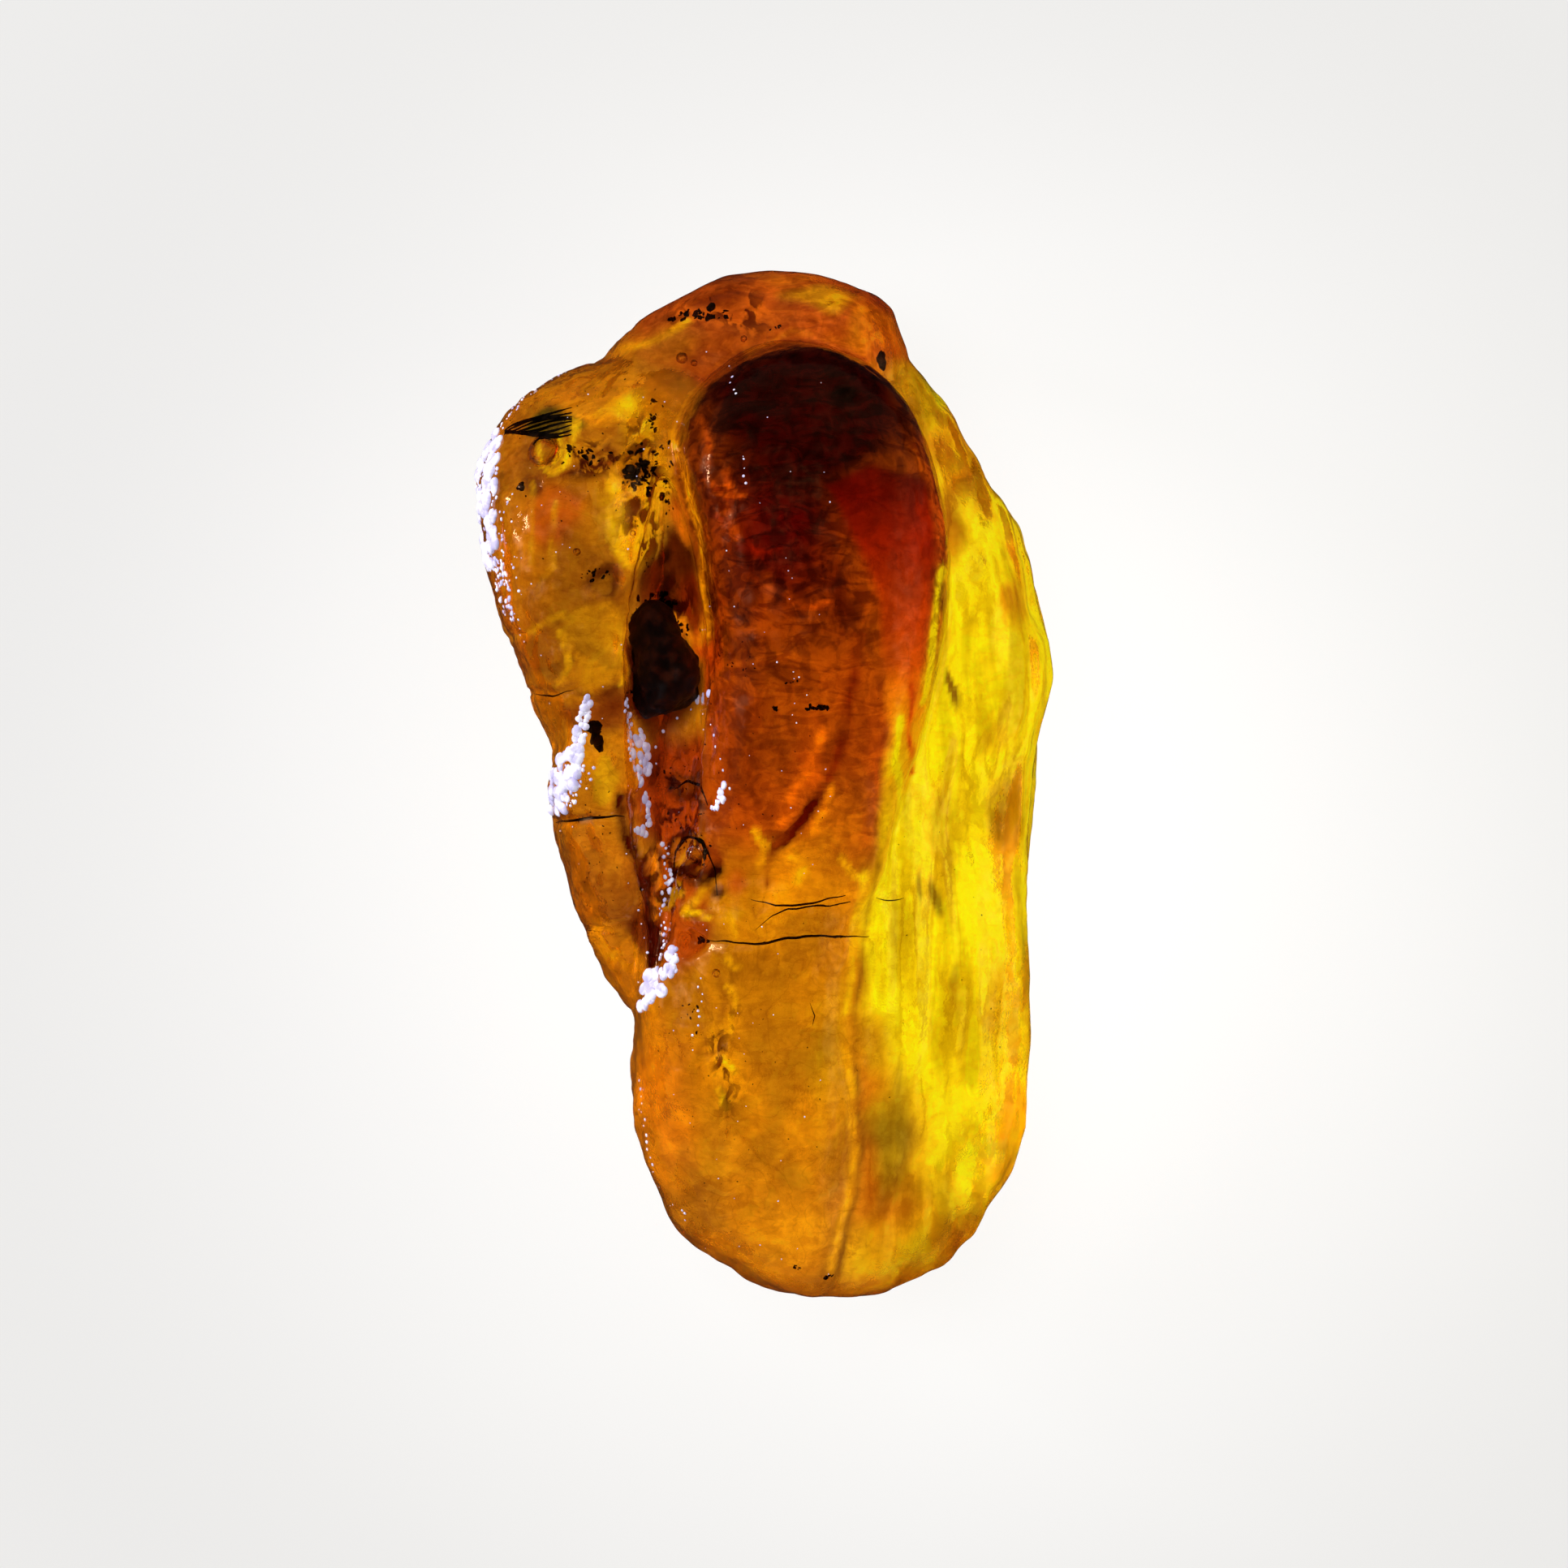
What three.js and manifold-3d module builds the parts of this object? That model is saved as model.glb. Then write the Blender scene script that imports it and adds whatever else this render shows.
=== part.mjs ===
// A lump of rough amber, lying on its back as it would on a table, in millimetres.
// Origin: the centre of the bounding box, on the surface that the lump rests on.
// +X is the stone's right, +Y runs along it to its broad end, +Z is up, to the face that is looked at.
// The stone is five resin flows that ran together and set as one solid. A piece of bark is lodged in its furrow.
import * as THREE from "three";
import { mergeVertices } from "three/addons/utils/BufferGeometryUtils.js";
import { ImprovedNoise } from "three/addons/math/ImprovedNoise.js";
import Module from "manifold-3d";

const wasm = await Module();
wasm.setup();

// Driving dimensions
const RIM = 5.7; // height of the stone's widest outline over the table
const HEAD_RIM = 10.6; // height of the front flow's widest outline, where its head overhangs
const LODGE_GAP = 0.3; // clearance all round the bark in its pocket
const POCKET_MOUTH = 3; // how far the pocket reaches over the bark, so that it is open above
const OUTLINE_STEPS = 720; // points along an outline, from which its reach in a direction is read
const AMBER_COLOUR = 0xd97a08;
const BARK_COLOUR = 0x2a0f06;

const noise = new ImprovedNoise();
const ease = THREE.MathUtils.smoothstep;

// A smooth rise of height 1 around a point, wx and wy wide.
const hill = (x, y, cx, cy, wx, wy) => Math.exp(-(((x - cx) / wx) ** 2) - ((y - cy) / wy) ** 2);

// A step of height 1 where y passes a level, as a ledge across a flow.
const ledge = (y, level) => 0.5 * Math.tanh((y - level) / 0.35);

// The reach of a closed outline from its centre, in any direction of the plan.
function reachOf(outline, centre) {
  const points = outline.map(([x, y]) => new THREE.Vector3(x - centre[0], y - centre[1], 0));
  const line = new THREE.CatmullRomCurve3(points, true, "centripetal").getPoints(OUTLINE_STEPS);
  const polar = line.map((p) => [Math.atan2(p.y, p.x), Math.hypot(p.x, p.y)]);
  polar.sort((a, b) => a[0] - b[0]);
  const turn = 2 * Math.PI;
  return (angle) => {
    const next = polar.findIndex(([a]) => a >= angle);
    const after = next < 0 ? polar[0] : polar[next];
    const before = next <= 0 ? polar[polar.length - 1] : polar[next - 1];
    const span = (after[0] - before[0] + turn) % turn || 1;
    const share = ((angle - before[0] + turn) % turn) / span;
    return before[1] + (after[1] - before[1]) * Math.min(share, 1);
  };
}

// A rounded lump over an outline. crown(x, y) is its height over the rim and belly(x, y) its depth under it.
// stretch is the outline's length over its width, edge under 1 gives steep sides and a flatter top, and
// ripple roughens it as cooling resin does.
function lump({ outline, centre, stretch, rim = RIM, crown, belly, edge = 0.72, ripple = 0.3, detail }) {
  const reach = reachOf(outline, centre);
  const ball = new THREE.IcosahedronGeometry(1, detail);
  const at = ball.attributes.position;
  const v = new THREE.Vector3();
  for (let i = 0; i < at.count; i++) {
    v.fromBufferAttribute(at, i).normalize();
    const out = Math.hypot(v.x, v.y);
    const angle = Math.atan2(v.y * stretch, v.x);
    const r = out < 1e-6 ? 0 : reach(angle) * Math.pow(out, edge);
    const x = centre[0] + r * Math.cos(angle);
    const y = centre[1] + r * Math.sin(angle);
    const rise = Math.pow(Math.abs(v.z), edge + 0.1);
    const z = rim + (v.z > 0 ? crown(x, y) : -belly(x, y)) * rise;
    const broad = noise.noise(x * 0.33 + 7, y * 0.21 + 3, z * 0.33);
    const fine = noise.noise(x * 0.9, y * 0.6, z * 0.9 + 5);
    const push = ripple * (broad + 0.45 * fine);
    at.setXYZ(i, x + push * v.x * out, y + push * v.y * out, z + push * v.z);
  }
  return solid(ball);
}

// A closed mesh as a solid that can be cut and joined.
function solid(geometry) {
  geometry.deleteAttribute("normal");
  geometry.deleteAttribute("uv");
  const merged = mergeVertices(geometry, 1e-4);
  const vertices = { numProp: 3, vertProperties: merged.attributes.position.array };
  return new wasm.Manifold(new wasm.Mesh({ ...vertices, triVerts: new Uint32Array(merged.index.array) }));
}

// A solid as a named mesh.
function piece(name, shape, colour, roughness) {
  const { vertProperties, triVerts } = shape.getMesh();
  const geometry = new THREE.BufferGeometry();
  geometry.setAttribute("position", new THREE.BufferAttribute(vertProperties, 3));
  geometry.setIndex(new THREE.BufferAttribute(triVerts, 1));
  geometry.computeVertexNormals();
  const material = new THREE.MeshStandardMaterial({ color: colour, roughness, metalness: 0 });
  const mesh = new THREE.Mesh(geometry, material);
  mesh.name = name;
  return mesh;
}

// The broad body behind the other flows. Its right flank shows, and thins towards the right edge.
function body() {
  const outline = [
    [3.1, -22.1], [-0.4, -21.3], [-3.4, -19.5], [-4.9, -17.2], [-5.6, -14.8], [-5.7, -11.4], [-5.8, -7.5],
    [-6.4, -1.2], [-7.0, 5.8], [-7.0, 12.8], [-4.6, 17.2], [0.6, 19.2], [4.0, 19.4], [6.2, 18.4], [7.6, 16.3],
    [9.1, 14.0], [10.6, 11.6], [11.4, 9.7], [11.5, 8.3], [12.2, 6.0], [12.4, 4.4], [11.6, 2.2], [11.4, 0.6],
    [11.2, -2.0], [11.1, -4.4], [11.4, -8.0], [11.3, -10.2], [10.9, -13.2], [10.8, -15.8], [10.0, -17.4],
    [8.6, -19.6], [7.6, -20.7], [5.5, -21.5],
  ];
  const crown = (x, y) => {
    const slope = 5.7 - 0.26 * (x - 3) - 1.4 * ease(-y, 8, 20);
    const swells = 0.9 * hill(x, y, 10, 8.8, 2.2, 2.4) + 0.8 * hill(x, y, 10.4, 4, 2.6, 3.4);
    const hollows = 0.9 * hill(x, y, 8.6, -2.5, 2.4, 3.2) + 0.5 * hill(x, y, 7.2, -12, 1.2, 5);
    return slope + swells - hollows;
  };
  const belly = (x, y) => 6.4 + 0.05 * y - 1.3 * hill(x, y, -3, -14, 5, 6) + 0.9 * hill(x, y, 4, 2, 6, 9);
  return lump({ outline, centre: [2.6, -0.6], stretch: 2.1, crown, belly, ripple: 0.42, detail: 12 });
}

// The left flow, which sags over the body's side in three shallow ledges and runs out to a point.
// Its upper end spreads to the right, behind the head of the front flow.
function leftFlow() {
  const outline = [
    [-9.8, 17.4], [-11.8, 15.2], [-12.5, 13.0], [-12.3, 10.8], [-11.7, 8.0], [-10.7, 5.6], [-9.8, 2.9],
    [-9.1, 1.4], [-9.4, 0.1], [-9.3, -1.2], [-8.8, -3.6], [-8.0, -5.8], [-6.9, -8.0], [-5.7, -9.8], [-4.9, -8.4],
    [-4.8, -5.4], [-5.0, -1.2], [-4.6, 3.0], [-3.6, 7.2], [-2.2, 11.4], [-0.6, 15.0], [-0.4, 18.2], [-3.0, 19.6],
    [-5.2, 19.0], [-7.1, 18.5],
  ];
  const ledges = (y) => 0.5 * ledge(y, 3.6) + 0.4 * ledge(y, -1.6) + 0.3 * ledge(y, -6.3);
  const crown = (x, y) => 5.4 + 0.07 * y + ledges(y) + 0.4 * hill(x, y, -8.8, 10, 2, 4);
  const belly = (x, y) => 3.4 + 0.06 * y;
  return lump({ outline, centre: [-7.4, 4.2], stretch: 2.6, crown, belly, detail: 10 });
}

// The lobe at the back of the broad end, lower than the rest.
function topLobe() {
  const outline = [
    [-7.2, 18.2], [-5.8, 19.8], [-4.0, 21.0], [-2.2, 21.8], [-0.4, 22.15], [1.8, 22.1], [3.8, 21.6], [4.9, 20.9],
    [5.6, 19.8], [6.1, 18.3], [5.9, 14.2], [2.0, 11.4], [-3.2, 12.4], [-6.4, 15.2],
  ];
  const crown = (x, y) => 4.5 + 0.4 * hill(x, y, 3, 20, 2.4, 2) - 0.5 * hill(x, y, -1.4, 20.2, 2.5, 0.7);
  const belly = () => 4.4;
  return lump({ outline, centre: [-0.4, 17.0], stretch: 0.85, crown, belly, ripple: 0.28, detail: 6 });
}

// The foot: the broad lower face, which meets the right flank in a crease.
function foot() {
  const outline = [
    [-5.3, -9.4], [-5.6, -11.4], [-5.5, -14.8], [-4.8, -17.2], [-3.3, -19.5], [-0.4, -21.2], [2.5, -22.0],
    [3.3, -20.6], [3.9, -17.0], [4.2, -14.8], [3.9, -12.0], [3.9, -9.9], [4.5, -4.0], [4.6, 0.0], [2.0, 3.0],
    [-1.0, 3.0], [-3.0, 0.0], [-3.8, -3.5], [-4.6, -7.0],
  ];
  const crown = (x, y) => {
    const fall = 2.2 * ease(-y, 6, 22) + 0.5 * ledge(-y, 6.3);
    return 6.9 - fall - 0.06 * (x + 1) ** 2 * ease(-x, 0, 5) + 0.3 * hill(x, y, 3, -10, 1.4, 8);
  };
  const belly = () => 3;
  return lump({ outline, centre: [-0.4, -9.6], stretch: 2.4, crown, belly, edge: 0.62, detail: 9 });
}

// The front flow: a thick drip whose round head overhangs the body, running down the face onto the foot.
function frontFlow() {
  const outline = [
    [1.5, 18.8], [3.8, 18.3], [5.7, 16.7], [6.9, 14.6], [7.6, 12.1], [7.7, 10.0], [7.6, 7.6], [7.3, 5.2],
    [6.4, 1.6], [5.4, -1.4], [4.6, -4.2], [3.0, -6.4], [0.6, -7.0], [-1.6, -6.0], [-2.5, -3.4], [-2.6, 0.2],
    [-2.4, 3.7], [-2.4, 7.2], [-2.9, 10.0], [-3.6, 12.5], [-3.9, 14.4], [-2.9, 16.6], [-0.9, 18.3],
  ];
  const crown = (x, y) => 2.2 + 3.4 * ease(y, -7, 8) + 0.4 * hill(x, y, 2.4, 12, 2.6, 4);
  const belly = () => 3.6;
  const shape = { outline, centre: [2.0, 6.4], stretch: 2.2, rim: HEAD_RIM, crown, belly };
  return lump({ ...shape, edge: 0.66, ripple: 0.26, detail: 11 });
}

// The furrow between the left flow and the front flow.
function furrow() {
  const outline = [
    [-4.5, 13.4], [-5.1, 11.0], [-5.6, 8.5], [-5.9, 5.5], [-5.8, 3.2], [-5.4, 1.0], [-5.5, -1.5], [-5.4, -4.0],
    [-5.2, -7.0], [-5.3, -9.4], [-4.6, -8.4], [-4.1, -5.6], [-3.4, -3.0], [-3.0, -0.5], [-2.7, 2.0], [-2.5, 5.0],
    [-2.8, 8.0], [-3.3, 10.5], [-3.8, 12.6],
  ];
  const belly = (x, y) => 2.6 + 0.5 * hill(x, y, -4.4, 6, 3, 4);
  const shape = { outline, centre: [-4.3, 2.4], stretch: 5.5, rim: 11.0, crown: () => 5, belly };
  return lump({ ...shape, edge: 0.8, ripple: 0.35, detail: 5 });
}

// The bark caught in the furrow: its outline in plan, the height of its widest part, and how far it rises over
// that and reaches under it.
const BARK = {
  outline: [
    [-4.3, 7.2], [-4.8, 7.3], [-5.2, 7.0], [-5.4, 6.2], [-5.5, 4.6], [-5.3, 3.9], [-4.8, 3.5], [-4.0, 3.3],
    [-3.6, 3.6], [-3.3, 4.1], [-3.2, 4.8], [-3.4, 5.4], [-3.8, 6.1],
  ],
  centre: [-4.4, 5.1],
  stretch: 1.7,
  rim: 9.6,
  top: 1.3,
  under: 1.6,
};

// The bark, or its pocket, which is larger by the gap all round and open above.
function bark(gap = 0) {
  const { outline, centre, stretch, rim, top, under } = BARK;
  const grown = outline.map(([x, y]) => {
    const dx = x - centre[0];
    const dy = y - centre[1];
    const k = 1 + (gap * 1.15) / Math.hypot(dx, dy);
    return [centre[0] + dx * k, centre[1] + dy * k];
  });
  const mouth = gap > 0 ? POCKET_MOUTH : 0;
  const shape = { outline: grown, centre, stretch, rim, crown: () => top + gap + mouth, belly: () => under + gap };
  return lump({ ...shape, edge: 0.62, ripple: 0, detail: 3 });
}

// Rounded hollows: the centre and the half sizes of each.
const PITS = [
  [-3.2, -2.9, 11.4, 0.9, 1.1, 0.8],
  [-3.3, -6.6, 11.6, 0.7, 0.6, 0.7],
  [-2.2, -11.0, 12.4, 0.8, 1.3, 0.7],
  [-1.8, -15.6, 11.6, 0.7, 1.1, 0.6],
];

// All the flows as one solid, with its hollows, the pocket of its bark and its worn resting face.
function amber() {
  const stone = body().add(leftFlow()).add(topLobe()).add(foot()).add(frontFlow());
  const pits = PITS.map(([x, y, z, ...half]) => {
    return solid(new THREE.IcosahedronGeometry(1, 2).scale(...half).translate(x, y, z));
  });
  const table = solid(new THREE.BoxGeometry(60, 60, 20).translate(0, 0, -10));
  return [furrow(), ...pits, bark(LODGE_GAP), table].reduce((left, cut) => left.subtract(cut), stone);
}

const lumpOfAmber = new THREE.Group();
lumpOfAmber.add(piece("amber", amber(), AMBER_COLOUR, 0.15));
lumpOfAmber.add(piece("bark_fragment", bark(), BARK_COLOUR, 0.55));

// The origin goes to the middle of the lump's box.
const middle = new THREE.Box3().setFromObject(lumpOfAmber).getCenter(new THREE.Vector3());
lumpOfAmber.position.set(-middle.x, -middle.y, 0);

export default lumpOfAmber;
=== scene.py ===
"""A lump of rough amber on a pale light table, seen from straight above, in metres.

The stone lies on its back. +X is its right, +Y runs along it to its broad end, +Z is up to the camera.
Places on the stone are given in millimetres, as (x, y) in plan or (x, y, z), and turned to metres by mm().
"""
import math
import random

import bmesh
import bpy
import numpy as np
from mathutils import Matrix, Vector, noise
from mathutils.bvhtree import BVHTree


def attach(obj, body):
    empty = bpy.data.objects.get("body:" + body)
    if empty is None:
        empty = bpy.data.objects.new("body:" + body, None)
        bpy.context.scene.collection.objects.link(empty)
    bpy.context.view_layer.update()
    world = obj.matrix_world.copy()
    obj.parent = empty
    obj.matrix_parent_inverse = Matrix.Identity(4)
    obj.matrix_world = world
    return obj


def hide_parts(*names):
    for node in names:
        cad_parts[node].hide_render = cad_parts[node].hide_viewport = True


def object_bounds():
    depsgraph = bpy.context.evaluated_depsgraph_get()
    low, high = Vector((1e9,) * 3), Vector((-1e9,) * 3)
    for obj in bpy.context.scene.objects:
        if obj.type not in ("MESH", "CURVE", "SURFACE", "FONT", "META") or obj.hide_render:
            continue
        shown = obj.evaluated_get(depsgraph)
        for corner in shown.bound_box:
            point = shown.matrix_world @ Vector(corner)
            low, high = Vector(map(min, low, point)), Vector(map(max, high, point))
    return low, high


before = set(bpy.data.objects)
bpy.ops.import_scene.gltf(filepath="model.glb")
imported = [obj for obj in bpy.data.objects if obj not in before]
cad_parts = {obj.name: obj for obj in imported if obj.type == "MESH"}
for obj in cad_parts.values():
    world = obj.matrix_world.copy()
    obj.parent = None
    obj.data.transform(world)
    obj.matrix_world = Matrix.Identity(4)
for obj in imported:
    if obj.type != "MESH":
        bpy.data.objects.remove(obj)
cad_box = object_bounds()
DEPTH = (cad_box[1][2] - cad_box[0][2]) * 1000

# The photograph's view: how many millimetres its side spans at the stone's rim, and where its centre lies
VIEW_SPAN = 67.6
VIEW_CENTRE = (0.8, 0)
RIM_HEIGHT = 5.7
LENS = 180
SENSOR = 36

# The light table's glow under the stone's right side: its middle, its reach, and its brightest and dimmest level
GLOW_CENTRE = (6, -3, 0)
GLOW_REACH = 46
GLOW_LEVELS = (1, 0.72)

TABLE_HALF = 3  # metres from the table's middle to its edge
TABLE_DROP = 0.05  # under the stone, so that their faces don't meet
TABLE_PAPER = (0.12, 0.12, 0.12, 1)
TABLE_TINGE = (("Red", 1.0), ("Green", 0.99), ("Blue", 0.97))

# The room's strength changes between two heights of the sky: both heights, and its share at each
ROOM_ABOVE = (0.1, 0.7, 0.1, 0.02)
ROOM_BELOW = (-0.2, 0, 0.1, 1)

# Soft lights: name, place, size, watts, colour, and whether the stone mirrors it
LIGHTS = [
    ("back_light", (140, 480, 330), 420, 1, (1, 1, 1), False),
    ("top_light", (-160, 120, 520), 300, 1.2, (1, 1, 1), False),
    ("left_light", (-320, 60, 130), 160, 1.1, (0.9, 0.9, 1), False),
    ("glint_light", (-300, 120, 110), 34, 0.16, (0.92, 0.92, 1), True),
    ("right_light", (330, -40, 80), 240, 1, (1, 0.96, 0.8), False),
]

WELD = 0.002  # corners of a solid that are nearer than this are one
VOXEL = 0.192  # spacing of the stone's surface mesh
SMOOTHING = 10  # rounds of smoothing after the remesh
RAY_HEIGHT = 60  # from where the stone's surface is looked for, straight down
LODGE_GAP = 0.3  # the gap that the CAD leaves round the bark


def mm(*values):
    """Millimetres to metres, as a vector or a single length."""
    return values[0] / 1000 if len(values) == 1 else Vector(values) / 1000


# Camera, table and lights


def make_camera():
    """The camera looks straight down on the stone, at the photograph's distance and framing."""
    data = bpy.data.cameras.new("camera")
    data.lens = LENS
    data.sensor_width = SENSOR
    camera = bpy.data.objects.new("camera", data)
    away = VIEW_SPAN * LENS / SENSOR
    camera.location = mm(*VIEW_CENTRE, RIM_HEIGHT + away)
    bpy.context.scene.collection.objects.link(camera)
    bpy.context.scene.camera = camera


def make_table():
    """A plain pale light table under the stone, seen through it but not mirrored in its walls."""
    bm = bmesh.new()
    below = Matrix.Translation(mm(0, 0, -TABLE_DROP))
    bmesh.ops.create_grid(bm, x_segments=1, y_segments=1, size=TABLE_HALF, matrix=below)
    table = add_object("table", bm)
    material, tree, shader = new_material("table_paper")
    away = add_vector_math(tree, "DISTANCE", millimetre_point(tree), GLOW_CENTRE)
    glow = add_range(tree, away, 0.0, GLOW_REACH, *GLOW_LEVELS)
    tinges = {channel: add_math(tree, "MULTIPLY", glow, tinge) for channel, tinge in TABLE_TINGE}
    shade = add_node(tree, "CombineColor", tinges)
    connect(tree, shader, {
        "Base Color": TABLE_PAPER, "Roughness": 0.8,
        "Emission Color": shade.outputs["Color"], "Emission Strength": 1.0,
    })
    table.data.materials.append(material)
    table.visible_glossy = False


def make_light(name, place, size, watts, colour, mirrored):
    """A square soft light at a place in millimetres, turned to the stone's middle."""
    data = bpy.data.lights.new(name, "AREA")
    data.size = mm(size)
    data.energy = watts
    data.color = colour
    light = bpy.data.objects.new(name, data)
    light.location = mm(*place)
    light.rotation_euler = (mm(0, 0, DEPTH / 2) - light.location).to_track_quat("-Z", "Y").to_euler()
    light.visible_glossy = mirrored
    bpy.context.scene.collection.objects.link(light)


def make_lighting():
    """Soft studio light: a dim room that is brighter near the horizon, and soft lights round the stone."""
    world = bpy.data.worlds.new("room")
    world.use_nodes = True
    tree = world.node_tree
    place = add_node(tree, "TexCoord", {}).outputs["Generated"]
    height = add_node(tree, "SeparateXYZ", {"Vector": place}).outputs["Z"]
    above = add_range(tree, height, *ROOM_ABOVE)
    below = add_range(tree, height, *ROOM_BELOW)
    strength = add_math(tree, "MULTIPLY", above, below)
    connect(tree, tree.nodes["Background"], {"Color": (1, 1, 1, 1), "Strength": strength})
    bpy.context.scene.world = world
    for light in LIGHTS:
        make_light(*light)


# Meshes


def add_object(name, bm):
    """A bmesh as an object of the scene, at the origin, shaded smooth."""
    for face in bm.faces:
        face.smooth = True
    mesh = bpy.data.meshes.new(name)
    bm.to_mesh(mesh)
    bm.free()
    piece = bpy.data.objects.new(name, mesh)
    bpy.context.scene.collection.objects.link(piece)
    return piece


def finish_piece(piece, slot, material, *nodes):
    """Gives a piece its material and rides it on the stone's body; its slot is not used."""
    piece.data.materials.clear()
    piece.data.materials.append(material)
    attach(piece, "root")
    if nodes:
        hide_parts(*nodes)
    return piece


def apply_modifiers(piece):
    """Bakes a piece's modifiers into its mesh."""
    graph = bpy.context.evaluated_depsgraph_get()
    done = bpy.data.meshes.new_from_object(piece.evaluated_get(graph))
    piece.modifiers.clear()
    piece.data = done


def solid_mesh(node):
    """A CAD node's solid as a bmesh, with its doubled corners joined."""
    bm = bmesh.new()
    bm.from_mesh(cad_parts[node].data)
    bmesh.ops.remove_doubles(bm, verts=bm.verts, dist=mm(WELD))
    return bm


def skin_rows(bm, rows):
    """Closes rows of three corners into one thin body with shut ends."""
    for a, b in zip(rows, rows[1:]):
        for i in range(3):
            bm.faces.new((a[i], a[(i + 1) % 3], b[(i + 1) % 3], b[i]))
    bm.faces.new(rows[0][::-1])
    bm.faces.new(rows[-1])


def along(points, steps):
    """Points at even shares along a line of plan points: [(x, y, share)]."""
    spans = [math.dist(a, b) for a, b in zip(points, points[1:])]
    total = sum(spans)
    found = []
    for i in range(steps):
        share = i / (steps - 1)
        left = share * total
        for span, a, b in zip(spans, points, points[1:]):
            if left <= span or b is points[-1]:
                t = min(left / span, 1)
                found.append((a[0] + (b[0] - a[0]) * t, a[1] + (b[1] - a[1]) * t, share))
                break
            left -= span
    return found


class Surface:
    """The stone's surface, asked for by its plan."""

    def __init__(self, piece):
        corners = [v.co for v in piece.data.vertices]
        self.tree = BVHTree.FromPolygons(corners, [p.vertices for p in piece.data.polygons])

    def at(self, x, y):
        """(point, normal) on top of the stone over a plan point, or (None, None) off it."""
        hit = self.tree.ray_cast(mm(x, y, RAY_HEIGHT), Vector((0, 0, -1)))
        return hit[0], hit[1]


# Shader helpers


def new_material(name):
    """An empty procedural material: (material, its node tree, its Principled shader)."""
    material = bpy.data.materials.new(name)
    material.use_nodes = True
    return material, material.node_tree, material.node_tree.nodes["Principled BSDF"]


def connect(tree, node, values):
    """Links outputs to a node's inputs, or sets plain values on them."""
    for place, value in values.items():
        if isinstance(value, bpy.types.NodeSocket):
            tree.links.new(value, node.inputs[place])
        else:
            node.inputs[place].default_value = value


def add_node(tree, kind, values, **settings):
    """A new shader node, with its settings made and its inputs connected."""
    node = tree.nodes.new("ShaderNode" + kind)
    for name, value in settings.items():
        setattr(node, name, value)
    connect(tree, node, values)
    return node


def add_math(tree, operation, a, b=0.0):
    """A Math node of two values: its output."""
    return add_node(tree, "Math", {0: a, 1: b}, operation=operation).outputs["Value"]


def add_vector_math(tree, operation, a, b):
    """A Vector Math node of two vectors: its output."""
    node = add_node(tree, "VectorMath", {0: a, 1: b}, operation=operation)
    return node.outputs["Value" if operation == "DISTANCE" else "Vector"]


def add_range(tree, value, from_min, from_max, to_min=0.0, to_max=1.0):
    """A smooth Map Range from one span to another: its output."""
    values = {"Value": value, "From Min": from_min, "From Max": from_max, "To Min": to_min, "To Max": to_max}
    return add_node(tree, "MapRange", values, interpolation_type="SMOOTHSTEP").outputs["Result"]


def add_noise(tree, point, scale, detail=3.0, stretch=(1, 1, 1), distortion=0.0):
    """A Noise texture over points in millimetres, with scale in waves per millimetre: its output."""
    place = add_vector_math(tree, "MULTIPLY", point, stretch)
    values = {"Vector": place, "Scale": scale, "Detail": detail, "Distortion": distortion}
    return add_node(tree, "TexNoise", values).outputs["Fac"]


def add_mix(tree, mask, under, over, blend="MIX"):
    """A colour mix: its output."""
    values = {"Factor": mask, 6: under, 7: over}
    return add_node(tree, "Mix", values, data_type="RGBA", blend_type=blend).outputs[2]


def add_bump(tree, height, strength, distance):
    """A Bump node: its normal."""
    values = {"Strength": strength, "Distance": mm(distance), "Height": height}
    return add_node(tree, "Bump", values).outputs["Normal"]


def millimetre_point(tree):
    """The surface point in the frame, in millimetres."""
    place = add_node(tree, "TexCoord", {}).outputs["Object"]
    return add_vector_math(tree, "MULTIPLY", place, (1000, 1000, 1000))


def thread_group():
    """Group: fine wavering threads, where a noise crosses its middle value, 1 on a thread and 0 off it."""
    group = bpy.data.node_groups.new("Threads", "ShaderNodeTree")
    for name, kind in (("Point", "Vector"), ("Scale", "Float"), ("Width", "Float")):
        group.interface.new_socket(name, in_out="INPUT", socket_type="NodeSocket" + kind)
    group.interface.new_socket("Mask", in_out="OUTPUT", socket_type="NodeSocketFloat")
    given = group.nodes.new("NodeGroupInput")
    waves = add_noise(group, given.outputs["Point"], given.outputs["Scale"], 2.5, distortion=0.6)
    off = add_math(group, "ABSOLUTE", add_math(group, "SUBTRACT", waves, 0.5))
    mask = add_range(group, off, 0.0, given.outputs["Width"], 1.0, 0.0)
    connect(group, group.nodes.new("NodeGroupOutput"), {"Mask": mask})
    return group


# The amber

# The front flow's outline in plan, as in the solid
FRONT_OUTLINE = [
    (1.5, 18.8), (3.8, 18.3), (5.7, 16.7), (6.9, 14.6), (7.6, 12.1), (7.7, 10), (7.6, 7.6), (7.3, 5.2),
    (6.4, 1.6), (5.4, -1.4), (4.6, -4.2), (3, -6.4), (0.6, -7), (-1.6, -6), (-2.5, -3.4), (-2.6, 0.2),
    (-2.4, 3.7), (-2.4, 7.2), (-2.9, 10), (-3.6, 12.5), (-3.9, 14.4), (-2.9, 16.6), (-0.9, 18.3),
]

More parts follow.
